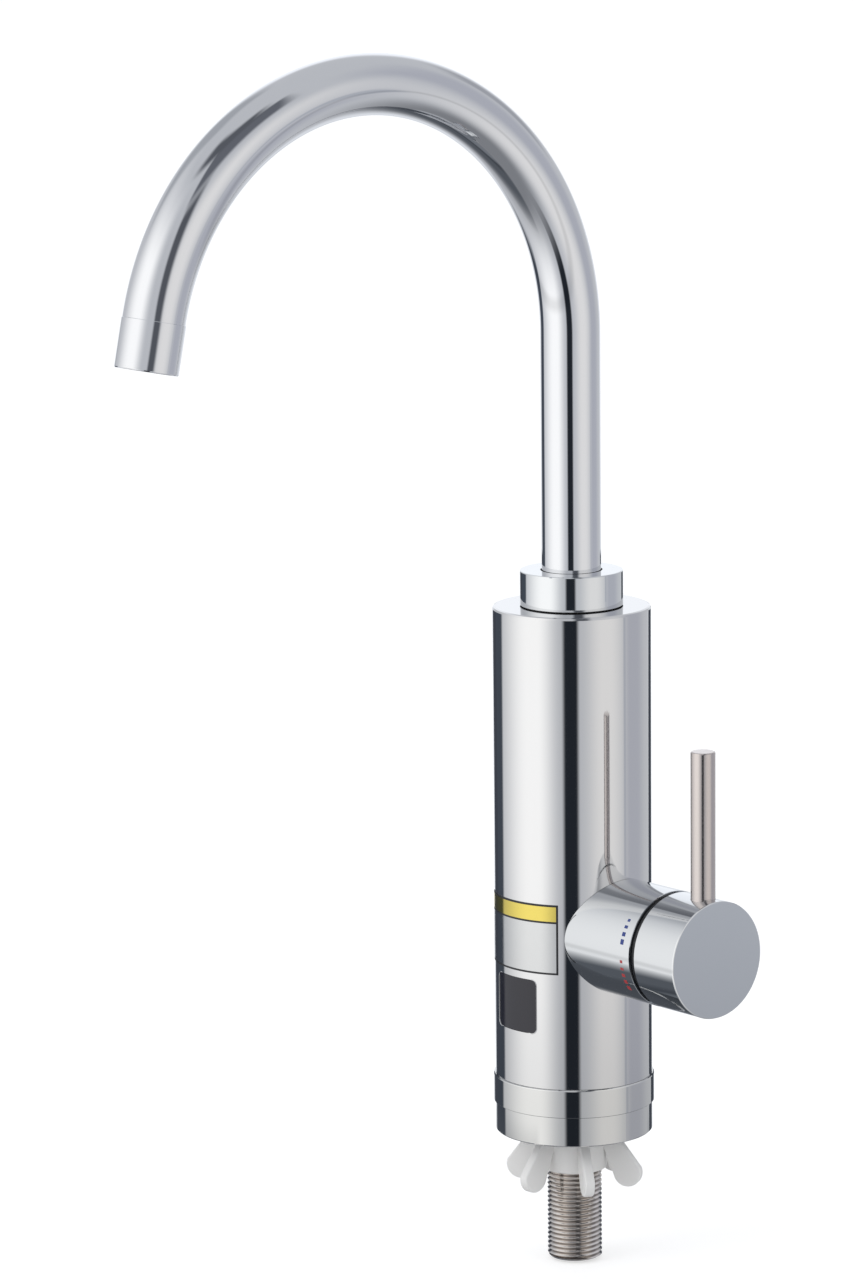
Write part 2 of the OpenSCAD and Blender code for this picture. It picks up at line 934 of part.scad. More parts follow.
// Steel pin lever with the stud that screws into the knob
module lever() {
    tip_bevel = 0.4;
    color([0.72, 0.69, 0.66])
        translate([lever_x, 0, valve_z])
        union() {
            rotate_extrude()
                polygon([
                    [0, lever_seat],
                    [lever_r, lever_seat],
                    [lever_r, lever_reach - tip_bevel],
                    [lever_r - tip_bevel, lever_reach],
                    [0, lever_reach]
                ]);
            translate([0, 0, lever_seat - stud_len])
                cylinder(r = stud_r, h = stud_len + cut);
        }
}

// Set screw under the knob that grips the spindle
module grub_screw() {
    socket_af = 2;
    color("dimgray")
        translate([grub_x, 0, valve_z - spindle_r - seat_gap - grub_len])
        difference() {
            cylinder(r = grub_r, h = grub_len);
            translate([0, 0, -cut])
                hexagon(socket_af, 2 + cut);
        }
}

// Tank

// Moulded lower cap with a nozzle down into the block and holes for the coil's two legs
module tank_cap() {
    plug_r = tank_in_r - seat_gap;
    groove_half = seal_wire_r + 0.2;
    color("ivory")
    difference() {
        union() {
            translate([0, 0, cap_z])
                cylinder(r = tank_r, h = cap_t);
            translate([0, 0, tank_z])
                cylinder(r = plug_r, h = cap_plug_t);
            translate([0, 0, cap_z - block_socket_h + 0.2])
                cylinder(r = block_socket_r - seat_gap, h = block_socket_h);
        }
        translate([0, 0, cap_z - block_socket_h - cut])
            cylinder(r = way_r, h = block_socket_h + cap_t + cap_plug_t + 2 * cut);
        for (side = [-1, 1])
            translate([side * coil_r, 0, cap_z - cut])
                cylinder(r = leg_hole_r, h = cap_t + cap_plug_t + 2 * cut);
        translate([0, 0, seal_z - groove_half])
            tube(plug_r + cut, plug_r - 2 * seal_wire_r, 2 * groove_half);
    }
}

// Rubber ring between the cap and the tank
module tank_seal() {
    color("black")
        translate([0, 0, seal_z])
            o_ring(tank_in_r - seat_gap / 2 - seal_wire_r, seal_wire_r);
}

// Moulded tank with a threaded neck that passes through the column's top
module tank_body() {
    pad_half = cutout_r + 1;
    color("ivory")
    difference() {
        union() {
            translate([0, 0, tank_z])
                cylinder(r = tank_r, h = tank_top - tank_z);
            translate([-pad_half, 0, cutout_z - pad_half])
                cube([2 * pad_half, pad_y, 2 * pad_half]);
            translate([0, 0, tank_top - cut])
                cylinder(r = neck_r, h = neck_top - tank_top + cut);
            translate([0, 0, body_h - shell_wall - neck_flange_t])
                cylinder(r = neck_flange_r, h = neck_flange_t);
        }
        translate([0, 0, tank_z - cut])
            cylinder(r = tank_in_r, h = tank_inside_top - tank_z + cut);
        translate([0, 0, tank_inside_top - cut])
            cylinder(r = neck_way_r, h = neck_floor - tank_inside_top + 2 * cut);
        translate([0, 0, neck_floor])
            cylinder(r = neck_bore_r, h = neck_top - neck_floor + cut);
        translate([0, 0, probe_z])
            rotate([90, 0, 0])
                cylinder(r = probe_r + running_gap, h = tank_r + cut);
    }
}

// Sheathed heating coil: two strands wound into each other and joined across the top
function coil_point(turn, z) = [coil_r * cos(turn), coil_r * sin(turn), z];
module heating_element() {
    lead = atan(coil_pitch / (2 * PI * coil_r));
    bend_steps = 5;
    turn_steps = 16 * coil_turns;
    cross_steps = 10;
    cross_out = 6;
    cross_up = 3;
    leg = [[coil_r, 0, leg_end_z], [coil_r, 0, coil_z - coil_bend - 1]];
    bend = [
        for (i = [0 : bend_steps])
            let (b = (90 - lead) * i / bend_steps)
                coil_point(coil_bend / coil_r * (1 - cos(b)) * 180 / PI,
                    coil_z - coil_bend + coil_bend * sin(b))
    ];
    bend_turn = coil_bend / coil_r * (1 - sin(lead)) * 180 / PI;
    bend_end_z = coil_z - coil_bend + coil_bend * cos(lead);
    strand = concat(leg, bend, [
        for (i = [1 : turn_steps])
            let (s = i / turn_steps)
                coil_point(bend_turn + s * 360 * coil_turns, bend_end_z + s * (coil_top - bend_end_z))
    ]);
    last_turn = bend_turn + 360 * coil_turns;
    across = [
        for (i = [1 : cross_steps - 1])
            let (s = i / cross_steps, a = coil_r * cos(180 * s), b = cross_out * sin(360 * s))
                [
                    a * cos(last_turn) - b * sin(last_turn),
                    a * sin(last_turn) + b * cos(last_turn),
                    coil_top + cross_up * sin(180 * s)
                ]
    ];
    back = [for (i = [len(strand) - 1 : -1 : 0]) [-strand[i][0], -strand[i][1], strand[i][2]]];
    color("dimgray")
        swept_tube(concat(strand, across, back), sheath_d / 2, 8, [1, 0, 0]);
}

// Two nuts that clamp the coil's legs under the cap
module element_nuts() {
    color("goldenrod")
        for (side = [-1, 1])
            translate([side * coil_r, 0, cap_z - leg_nut_t])
                difference() {
                    hexagon(leg_nut_af, leg_nut_t);
                    translate([0, 0, -cut])
                        cylinder(r = sheath_d / 2 + running_gap, h = leg_nut_t + 2 * cut);
                }
}

// Bimetal cut-out on the tank's flat pad
module thermal_cutout() {
    color("gray")
        translate([0, pad_y + seat_gap, cutout_z])
        rotate([-90, 0, 0])
        union() {
            cylinder(r = cutout_r, h = 2 / 3 * cutout_t);
            cylinder(r = cutout_r - 2, h = cutout_t);
        }
}

// Temperature probe through the tank's front wall
module temperature_probe() {
    head_t = 3;
    color("goldenrod")
        translate([0, 0, probe_z])
        rotate([90, 0, 0])
        union() {
            translate([0, 0, tank_in_r - 3])
                cylinder(r = probe_r, h = tank_wall + 4);
            translate([0, 0, tank_r + seat_gap])
                hexagon(8, head_t);
        }
}

// Electronics

board_side_gap = 9.4;
board_back_gap = 12.8;
board_thick = 1.6;
board_z = 14;
board_head_gap = 2;
board_half_w = band_in_r - board_side_gap;
board_y = band_in_r - board_back_gap;
board_h = block_z - board_head_gap - board_z;
relay = [10, 5, 14];
heat_sink = [13, 6, 9];
terminal = [14, 4, 10];
capacitor_r = 4;
capacitor_h = 7;
part_up = 4;
part_side = 1;

// Control board with its power parts on the back
module control_board() {
    back = board_y + board_thick - 0.1;
    color("darkgreen")
    union() {
        translate([-board_half_w, board_y, board_z])
            cube([2 * board_half_w, board_thick, board_h]);
        translate([-part_side - relay[0], back, board_z + part_up])
            cube(relay);
        translate([part_side, back, board_z + part_up])
            cube(heat_sink);
        translate([part_side + heat_sink[0] / 2, back, board_z + board_h - part_up - capacitor_r])
            rotate([-90, 0, 0])
                cylinder(r = capacitor_r, h = capacitor_h);
        translate([-terminal[0], back, board_z + board_h - part_up / 2 - terminal[2]])
            cube(terminal);
    }
}

// Smoky lens that fills the window, with a flange behind the steel
module display_lens() {
    front_r = body_r - 0.1;
    back_r = shell_in_r - lens_t;
    color([0.1, 0.1, 0.12])
    union() {
        intersection() {
            translate([0, 0, window_z - window_h])
                tube(front_r, back_r, 2 * window_h);
            window_bar(-lens_gap);
        }
        intersection() {
            translate([0, 0, window_z - window_h])
                tube(shell_in_r - lens_gap, back_r, 2 * window_h);
            window_bar(lens_flange);
        }
    }
}

// Digit module behind the lens
module display_module() {
    color("black")
        translate([-display_w / 2, -display_y, window_z - display_h / 2])
            cube([display_w, display_t, display_h]);
}

// Circuit board that carries the digit module
module display_board() {
    color("darkgreen")
        translate([-card_w / 2, display_t - display_y, window_z - card_h / 2])
            cube([card_w, board_t, card_h]);
}

// Bracket from the chassis that carries the display board
module display_holder() {
    holder_y = display_t + board_t - display_y;
    holder_t = 2;
    stem_w = 10;
    color([0.2, 0.2, 0.22])
    union() {
        translate([-card_w / 2, holder_y, window_z - card_h / 2])
            cube([card_w, holder_t, card_h]);
        translate([-stem_w / 2, holder_y, chassis_top])
            cube([stem_w, holder_t, window_z - chassis_top]);
    }
}

// Blank label with no words, wrapped on the front of the column
module label_film() {
    film_t = 0.15;
    film_gap = 0.03;
    color("gold")
        rotate([0, 0, -90 - label_half_angle])
            rotate_extrude(angle = 2 * label_half_angle)
                translate([body_r + film_gap, label_z - label_h / 2])
                    square([film_t, label_h]);
}

// Spout

// Chromed collar that screws on the tank's neck and keeps the spout in
module spout_collar() {
    lip_z = collar_h - collar_lip;
    color("silver")
        translate([0, 0, body_h])
        rotate_extrude()
            polygon([
                [neck_r + seat_gap, 0],
                [collar_d / 2 + collar_foot, 0],
                [collar_d / 2 + collar_foot, collar_foot_h],
                [collar_d / 2, collar_foot_h],
                [collar_d / 2, collar_h - small_bevel],
                [collar_d / 2 - small_bevel, collar_h],
                [spout_r + seat_gap, collar_h],
                [spout_r + seat_gap, lip_z],
                [neck_r + seat_gap, lip_z]
            ]);
}

// Nylon ring that guides the spout in the neck
module slide_ring() {
    color("white")
        translate([0, 0, insert_top + face_gap])
            tube(neck_bore_r - seat_gap, spout_r + running_gap, neck_top - insert_top - 2 * face_gap);
}

// Brass plug brazed into the pipe's lower end, with two grooves for its seals
function spout_groove_z(i) = insert_z + 3 + 6 * i;
module spout_insert() {
    groove_r = insert_r - 1.6;
    color("goldenrod")
    difference() {
        union() {
            translate([0, 0, insert_z])
                cylinder(r = insert_r, h = insert_top - insert_z);
            translate([0, 0, insert_top - cut])
                cylinder(r = spout_r - spout_wall - running_gap, h = spigot_len + cut);
        }
        translate([0, 0, insert_z - cut])
            cylinder(r = 7.5, h = insert_top + spigot_len - insert_z + 2 * cut);
        for (i = [0, 1])
            translate([0, 0, spout_groove_z(i)])
                tube(insert_r + cut, groove_r, ring_groove_w);
    }
}

// Two rubber rings that seal the spout in the neck
module spout_seals() {
    color("black")
        for (i = [0, 1])
            translate([0, 0, spout_groove_z(i) + ring_groove_w / 2])
                o_ring(insert_r - ring_wire_r - 0.05, ring_wire_r);
}

// Gooseneck pipe: an upright and a round bend
module spout_pipe() {
    bore_r = spout_r - spout_wall;
    color("silver")
    union() {
        translate([0, 0, insert_top])
            tube(spout_r, bore_r, bend_z - insert_top);
        translate([0, -bend_r, bend_z])
            rotate([90, 0, 90])
                rotate_extrude(angle = bend_sweep)
                    translate([bend_r, 0])
                        difference() {
                            circle(r = spout_r);
                            circle(r = bore_r);
                        }
    }
}

// Sleeve at the end of the spout, with a short spigot up into the pipe
module nozzle_sleeve() {
    color("silver")
        at_spout_end()
        difference() {
            union() {
                cylinder(r = nozzle_r, h = nozzle_len);
                translate([0, 0, -nozzle_spigot])
                    cylinder(r = nozzle_in_r, h = nozzle_spigot + cut);
            }
            translate([0, 0, -nozzle_spigot - cut])
                cylinder(r = nozzle_in_r - 1.2, h = nozzle_len);
            translate([0, 0, nozzle_len - aerator_len - aerator_inset])
                cylinder(r = nozzle_in_r, h = nozzle_len);
        }
}

// Plastic aerator cup in the sleeve's mouth
module aerator_body() {
    cup_r = nozzle_in_r - seat_gap;
    color("whitesmoke")
        at_spout_end(nozzle_len - aerator_len - aerator_inset)
        difference() {
            cylinder(r = cup_r, h = aerator_len);
            translate([0, 0, aerator_len - 2])
                cylinder(r = cup_r - 1.4, h = 3);
            translate([0, 0, -cut])
                cylinder(r = cup_r - 2.6, h = aerator_len + 2 * cut);
        }
}

// Steel screen that breaks up the stream
module aerator_screen() {
    screen_r = nozzle_in_r - seat_gap - 1.4 - seat_gap;
    screen_t = 1;
    hole_r = 0.65;
    color("silver")
        at_spout_end(nozzle_len - aerator_inset - 2)
        difference() {
            cylinder(r = screen_r, h = screen_t);
            for (ring = [1 : 3], i = [0 : 6 * ring - 1])
                rotate([0, 0, i * 60 / ring])
                    translate([ring * 2.2, 0, -cut])
                        cylinder(r = hole_r, h = screen_t + 2 * cut, $fn = 16);
        }
}

body_shell();
base_band();
base_foot();
deck_gasket();
cable_gland();
base_screws();
chassis();
threaded_tail();
valve_block();
tail_seal();
valve_housing();
cartridge_body();
cartridge_seal();
fixed_disc();
cartridge_nut();
bearing_ring();
microswitch();
display_lens();
display_module();
display_board();
display_holder();
control_board();
tank_cap();
tank_seal();
tank_body();
heating_element();
element_nuts();
thermal_cutout();
temperature_probe();
spout_collar();
slide_ring();
label_film();
spindle();
moving_disc();
switch_cam();
knob();
lever();
grub_screw();
switch_plunger();
switch_button();
spout_pipe();
spout_insert();
spout_seals();
nozzle_sleeve();
aerator_body();
aerator_screen();
clamp_washer();
wing_nut();
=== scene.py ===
"""The look of an electric instant water heater tap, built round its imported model.

Lengths in the tables below are millimetres, and mm() turns them to metres. Z points up from the
worktop face, the window and the spout face -Y, and the valve axis runs along +X.
"""

import math

import bmesh
import bpy
from mathutils import Matrix, Vector


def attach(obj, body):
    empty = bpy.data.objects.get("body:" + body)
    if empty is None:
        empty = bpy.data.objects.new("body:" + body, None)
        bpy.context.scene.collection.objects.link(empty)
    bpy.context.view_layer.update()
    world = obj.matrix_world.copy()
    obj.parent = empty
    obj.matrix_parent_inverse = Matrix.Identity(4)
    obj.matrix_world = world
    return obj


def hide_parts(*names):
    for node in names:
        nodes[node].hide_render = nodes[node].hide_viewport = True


# Sizes that the part's source has too
BODY_R = 30.0
BODY_H = 203.8
BAND_R = 30.75
WINDOW_Z = 53.8
WINDOW_W = 21.6
WINDOW_H = 21.0
WINDOW_CORNER = 2.2
COLLAR_R = 19.5
COLLAR_H = 13.6
VALVE_Z = 80.3
KNOB_R = 22.15
HOUSING_END = 56.8
KNOB_BACK = 59.45
KNOB_FACE = 81.0
LEVER_X = 73.4
LEVER_R = 4.6
LEVER_TOP = 158.2
PIPE_R = 11.25
PIPE_WALL = 1.2
PIPE_FOOT = 208.0
BEND_R = 98.0
BEND_Z = 307.6
SWEEP = math.radians(168)
NOZZLE_R = 11.5
NOZZLE_LENGTH = 18.0
THREAD_R = 10.4775
PITCH = 1.814
TAIL_END = -51.0

# The angle of -Y about Z, and the angle that the camera is turned from there
FRONT = -math.pi / 2
VIEW_AZIMUTH = math.radians(48.96)


def mm(*values):
    """Millimetres to metres, as one number or as a vector."""
    return values[0] / 1000 if len(values) == 1 else Vector(values) / 1000


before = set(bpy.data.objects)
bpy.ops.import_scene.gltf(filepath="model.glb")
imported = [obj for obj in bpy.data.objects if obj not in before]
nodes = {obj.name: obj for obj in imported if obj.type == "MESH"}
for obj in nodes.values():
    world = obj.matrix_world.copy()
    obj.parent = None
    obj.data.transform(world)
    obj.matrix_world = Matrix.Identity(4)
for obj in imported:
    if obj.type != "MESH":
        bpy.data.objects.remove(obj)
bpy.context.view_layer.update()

# The camera first: it stands 2 m away and 0.55 m above the worktop face, so a little above the
# spout, and looks down by about 10 degrees
camera = bpy.data.objects.new("camera", bpy.data.cameras.new("camera"))
bpy.context.scene.collection.objects.link(camera)
bpy.context.scene.camera = camera
camera.data.sensor_width = 36
camera.data.lens = 150.95
camera.data.clip_start = 0.05
camera.data.clip_end = 60
pitch, yaw, roll = math.radians(10.28), math.radians(1.57), math.radians(-0.58)
aim = Vector((-math.sin(yaw) * math.cos(pitch), math.cos(yaw) * math.cos(pitch), -math.sin(pitch)))
level = aim.cross(Vector((0, 0, 1))).normalized()
upright = level.cross(aim)
right = level * math.cos(roll) + upright * math.sin(roll)
up = upright * math.cos(roll) - level * math.sin(roll)
turn = Matrix((right, up, -aim)).transposed().to_4x4()
spot = Matrix.Translation((0, -2.0, 0.5534))
camera.matrix_world = Matrix.Rotation(VIEW_AZIMUTH, 4, "Z") @ spot @ turn


# ---------------------------------------------------------------- materials


def linear(hex_colour):
    """An sRGB hex colour as linear red, green, blue and 1."""
    parts = [int(hex_colour[i : i + 2], 16) / 255 for i in (1, 3, 5)]
    return (*(c / 12.92 if c <= 0.04045 else ((c + 0.055) / 1.055) ** 2.4 for c in parts), 1.0)


def put(tree, kind, inputs=None, **settings):
    """Adds one node. An input is a plain value, or the output of another node to link."""
    node = tree.nodes.new("ShaderNode" + kind)
    for name, value in settings.items():
        setattr(node, name, value)
    for name, value in (inputs or {}).items():
        if isinstance(value, bpy.types.NodeSocket):
            tree.links.new(value, node.inputs[name])
        else:
            node.inputs[name].default_value = value
    return node


def start(name, colour, metallic, roughness, **more):
    """A new material, with its tree, its surface shader and the object's own coordinates."""
    material = bpy.data.materials.new(name)
    material.use_nodes = True
    tree = material.node_tree
    surface = tree.nodes["Principled BSDF"]
    surface.inputs["Base Color"].default_value = linear(colour)
    surface.inputs["Metallic"].default_value = metallic
    surface.inputs["Roughness"].default_value = roughness
    for name, value in more.items():
        surface.inputs[name.replace("_", " ")].default_value = value
    place = put(tree, "TexCoord").outputs["Object"]
    return material, tree, surface, place


def grained(tree, surface, place, size, depth, stretch=(1, 1, 1), detail=2.0):
    """Bump from noise whose grains are about size millimetres and depth millimetres deep."""
    scaled = put(tree, "Mapping", {"Vector": place, "Scale": stretch}).outputs["Vector"]
    noise = put(tree, "TexNoise", {"Vector": scaled, "Scale": 1000 / size, "Detail": detail})
    bump = put(tree, "Bump", {"Height": noise.outputs["Fac"], "Distance": mm(depth), "Strength": 1.0})
    tree.links.new(bump.outputs["Normal"], surface.inputs["Normal"])
    return noise.outputs["Fac"]


def varied(tree, socket, fac, low, high):
    """Lets a number on the surface drift between low and high with a pattern."""
    reach = {"From Min": 0.3, "From Max": 0.7, "To Min": low, "To Max": high}
    span = put(tree, "MapRange", {"Value": fac, **reach})
    tree.links.new(span.outputs["Result"], socket)


def toned(tree, socket, fac, low, high):
    """Lets a colour on the surface drift between two hex colours with a pattern."""
    ramp = put(tree, "ValToRGB", {"Fac": fac})
    for stop, position, tone in zip(ramp.color_ramp.elements, (0.3, 0.7), (low, high)):
        stop.position = position
        stop.color = linear(tone)
    tree.links.new(ramp.outputs["Color"], socket)


def chrome_plate(name="chrome_plate_on_ABS", colour="#d9dbdd"):
    """Bright chrome on a moulding: a mirror with the faint waviness of the moulding under it."""
    material, tree, surface, place = start(name, colour, 1.0, 0.045)
    fac = grained(tree, surface, place, 9, 0.0012, detail=1.0)
    varied(tree, surface.inputs["Roughness"], fac, 0.035, 0.06)
    return material


def polished_can():
    """Drawn stainless steel, polished: a mirror with faint lines along the draw, a little warm."""
    material, tree, surface, place = start("polished_drawn_stainless", "#d7d7d8", 1.0, 0.05)
    fac = grained(tree, surface, place, 1.2, 0.0003, stretch=(1, 1, 0.02), detail=3.0)
    varied(tree, surface.inputs["Roughness"], fac, 0.04, 0.075)
    return material


def polished_pipe():
    """Bent stainless pipe, buffed and plated: a mirror that ripples a little along the bend."""
    material, tree, surface, place = start("buffed_plated_pipe", "#dbdcdf", 1.0, 0.045)
    fac = grained(tree, surface, place, 14, 0.002, detail=1.0)
    varied(tree, surface.inputs["Roughness"], fac, 0.035, 0.06)
    return material


def satin_lever():
    """Stainless rod, turned and satin brushed: fine rings that spread the light along the rod."""
    material, tree, surface, place = start("satin_turned_stainless", "#c9c1be", 1.0, 0.2)
    fac = grained(tree, surface, place, 0.9, 0.0008, stretch=(0.2, 0.2, 5.0), detail=3.0)
    varied(tree, surface.inputs["Roughness"], fac, 0.16, 0.24)
    return material


def rolled_thread():
    """Stainless steel with a rolled thread: a painted highlight on the crests and painted shade,
    darker and warmer, towards the root.

    The colour follows the distance from the thread's axis, and the gloss drifts in patches of
    about 8 mm.
    """
    material, tree, surface, place = start("rolled_stainless_thread", "#cbc6bf", 1.0, 0.2)
    parts = put(tree, "SeparateXYZ", {"Vector": place})
    squares = [
        put(tree, "Math", {0: parts.outputs[axis], 1: 2.0}, operation="POWER").outputs[0]
        for axis in "XY"
    ]
    total = put(tree, "Math", {0: squares[0], 1: squares[1]}, operation="ADD").outputs[0]
    radius = put(tree, "Math", {0: total}, operation="SQRT").outputs[0]
    # Painted light: the colour is lighter at the crests as a painted highlight, and darker and warmer
    # towards the root as painted shade in the grooves
    flank = {"From Min": mm(9.4), "From Max": mm(10.4)}
    crest = put(tree, "MapRange", {"Value": radius, **flank}).outputs["Result"]
    toned(tree, surface.inputs["Base Color"], crest, "#aca5a0", "#e8e3df")
    noise = put(tree, "TexNoise", {"Vector": place, "Scale": 120.0, "Detail": 2.0}).outputs["Fac"]
    varied(tree, surface.inputs["Roughness"], noise, 0.15, 0.2)
    return material


def zinc_steel():
    """Zinc plated mild steel for washers and screws: grey, with a soft spangle."""
    material, tree, surface, place = start("zinc_plated_steel", "#a9abad", 1.0, 0.35)
    fac = grained(tree, surface, place, 1.5, 0.003, detail=4.0)
    varied(tree, surface.inputs["Roughness"], fac, 0.28, 0.45)
    toned(tree, surface.inputs["Base Color"], fac, "#98999b", "#b7b9bb")
    return material


def turned_brass():
    """Turned brass: yellow metal with fine tool lines and a slight tarnish."""
    material, tree, surface, place = start("turned_brass", "#c8a55e", 1.0, 0.28)
    fac = grained(tree, surface, place, 0.7, 0.002, stretch=(3, 1, 3))
    varied(tree, surface.inputs["Roughness"], fac, 0.22, 0.36)
    toned(tree, surface.inputs["Base Color"], fac, "#b18f4b", "#d2b06a")
    return material


def heater_sheath():
    """Nickel alloy sheath, bright annealed: grey metal, straw tinted in 17 mm patches."""
    material, tree, surface, place = start("annealed_heater_sheath", "#86807a", 1.0, 0.33)
    noise = put(tree, "TexNoise", {"Vector": place, "Scale": 60.0, "Detail": 3.0}).outputs["Fac"]
    toned(tree, surface.inputs["Base Color"], noise, "#6f6a68", "#988a76")
    varied(tree, surface.inputs["Roughness"], noise, 0.25, 0.42)
    return material


def moulded(name, colour, roughness, size, depth, **more):
    """A moulded plastic or rubber: a fine spark-eroded grain and a slightly uneven gloss."""
    material, tree, surface, place = start(name, colour, 0.0, roughness, **more)
    fac = grained(tree, surface, place, size, depth)
    varied(tree, surface.inputs["Roughness"], fac, roughness - 0.06, roughness + 0.06)
    return material


def white_nylon():
    """Natural nylon, injection moulded: milky white that lets a little light in at thin edges."""
    return moulded(
        "natural_white_nylon", "#f0efed", 0.42, 0.8, 0.006,
        Subsurface_Weight=0.3, Subsurface_Radius=(1.0, 1.0, 1.0), Subsurface_Scale=0.0015,
    )


def tank_nylon():
    """Glass filled nylon for the tank: ivory, with short fibres that mottle the skin."""
    material, tree, surface, place = start("glass_filled_nylon", "#d8cfb6", 0.0, 0.55)
    fac = grained(tree, surface, place, 1.0, 0.02, stretch=(1, 1, 0.4), detail=4.0)
    toned(tree, surface.inputs["Base Color"], fac, "#cbc1a6", "#e2dac4")
    varied(tree, surface.inputs["Roughness"], fac, 0.48, 0.62)
    return material


def smoked_lens():
    """Smoked polycarbonate: a dark, glossy window, its hard coat uneven in 7 mm patches."""
    material, tree, surface, place = start("smoked_polycarbonate", "#201f29", 0.0, 0.12, IOR=1.5)
    noise = put(tree, "TexNoise", {"Vector": place, "Scale": 140.0, "Detail": 2.0}).outputs["Fac"]
    varied(tree, surface.inputs["Roughness"], noise, 0.09, 0.16)
    return material


def ceramic():
    """Lapped alumina: off-white and dense, mottled in 1.4 mm specks that are drawn coarse."""
    material, tree, surface, place = start("lapped_alumina", "#ece9e0", 0.0, 0.2, IOR=1.76)
    noise = put(tree, "TexNoise", {"Vector": place, "Scale": 700.0, "Detail": 3.0}).outputs["Fac"]
    toned(tree, surface.inputs["Base Color"], noise, "#e4e1d7", "#f1eee7")
    return material


def circuit_board():
    """Glass fibre board under green solder mask: the weave shows faintly, 0.5 mm apart."""
    material, tree, surface, place = start("solder_masked_FR4", "#14502f", 0.0, 0.35)
    threads = {"Color1": linear("#124a2b"), "Color2": linear("#185a36")}
    weave = put(tree, "TexChecker", {"Vector": place, "Scale": 2000.0, **threads})
    tree.links.new(weave.outputs["Color"], surface.inputs["Base Color"])
    return material


def printed(name, colour):
    """Printed ink: even, with a slightly soft gloss that drifts in 1.1 mm patches."""
    material, tree, surface, place = start(name, colour, 0.0, 0.38)
    noise = put(tree, "TexNoise", {"Vector": place, "Scale": 900.0, "Detail": 2.0}).outputs["Fac"]
    varied(tree, surface.inputs["Roughness"], noise, 0.33, 0.45)
    return material


def clear_film(name, colour):
    """Clear polyester film stuck on chrome: the mirror under it shows, tinted and a little softer."""
    material, tree, surface, place = start(name, colour, 1.0, 0.1)
    fac = grained(tree, surface, place, 3.0, 0.0006)
    varied(tree, surface.inputs["Roughness"], fac, 0.08, 0.13)
    return material


CHROME = chrome_plate()
BASE_CHROME = chrome_plate("chrome_plate_on_zinc", "#d9d9d8")
CAN = polished_can()
PIPE = polished_pipe()
LEVER = satin_lever()
THREAD = rolled_thread()
ZINC = zinc_steel()
BRASS = turned_brass()
SHEATH = heater_sheath()
NYLON = white_nylon()
TANK = tank_nylon()
BLACK = moulded("black_acetal", "#121419", 0.4, 0.5, 0.002)
# The collar also uses this dark material as painted shade in its gaps
RUBBER_AND_PAINTED_SHADE = moulded("EPDM_rubber_and_painted_shade", "#1c1c1d", 0.6, 0.6, 0.01)
LENS = smoked_lens()
CERAMIC = ceramic()
BOARD = circuit_board()
RED = moulded("red_acetal", "#b8372a", 0.4, 0.5, 0.004)
FILM = clear_film("clear_film_over_chrome", "#c9cacb")
YELLOW = clear_film("yellow_ink_on_film", "#dbc868")
BLACK_INK = printed("black_print", "#1b1b20")
BLUE_INK = printed("blue_pad_print", "#2a3f86")
RED_INK = printed("red_pad_print", "#b23a3c")

NODE_FINISH = {
    "body_shell": CAN, "base_band": BASE_CHROME, "base_foot": BASE_CHROME, "deck_gasket": RUBBER_AND_PAINTED_SHADE,
    "cable_gland": RUBBER_AND_PAINTED_SHADE, "base_screws": ZINC, "chassis": TANK, "threaded_tail": THREAD,
    "valve_block": BRASS, "tail_seal": RUBBER_AND_PAINTED_SHADE, "valve_housing": CHROME, "cartridge_body": BRASS,
    "cartridge_seal": RUBBER_AND_PAINTED_SHADE, "fixed_disc": CERAMIC, "cartridge_nut": BRASS, "bearing_ring": BLACK,
    "microswitch": BLACK, "display_lens": LENS, "display_module": BLACK, "display_board": BOARD,
    "display_holder": BLACK, "control_board": BOARD, "tank_cap": TANK, "tank_seal": RUBBER_AND_PAINTED_SHADE,
    "tank_body": TANK, "heating_element": SHEATH, "element_nuts": BRASS, "thermal_cutout": BLACK,
    "temperature_probe": BRASS, "spout_collar": CHROME, "slide_ring": NYLON, "label_film": FILM,
    "spindle": BRASS, "moving_disc": CERAMIC, "switch_cam": BLACK, "knob": CHROME, "lever": LEVER,
    "grub_screw": ZINC, "switch_plunger": NYLON, "switch_button": RED, "spout_pipe": PIPE,
    "spout_insert": BRASS, "spout_seals": RUBBER_AND_PAINTED_SHADE, "nozzle_sleeve": PIPE, "aerator_body": NYLON,
    "aerator_screen": ZINC, "clamp_washer": ZINC, "wing_nut": NYLON,
}
for node, material in NODE_FINISH.items():
    nodes[node].data.materials.clear()
    nodes[node].data.materials.append(material)


# ---------------------------------------------------------------- shaping


def piece_of(name, bm, *materials):
    """Turns a finished bmesh into an object at the origin, with smooth faces and sharp edges."""
    mesh = bpy.data.meshes.new(name)
    bm.to_mesh(mesh)
    bm.free()
    for material in materials:
        mesh.materials.append(material)
    mesh.shade_smooth()
    mesh.set_sharp_from_angle(angle=math.radians(32))
    piece = bpy.data.objects.new(name, mesh)
    bpy.context.scene.collection.objects.link(piece)
    return piece


def stand_in(piece, body, slot, *replaced):
    """The piece rides on its body and hides the nodes it stands for. Its slot is not used."""
    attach(piece, body)
    if replaced:
        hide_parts(*replaced)


def verts_of(faces):
    """The vertices of some faces, each once and in the same order every run."""
    return list(dict.fromkeys(v for f in faces for v in f.verts))


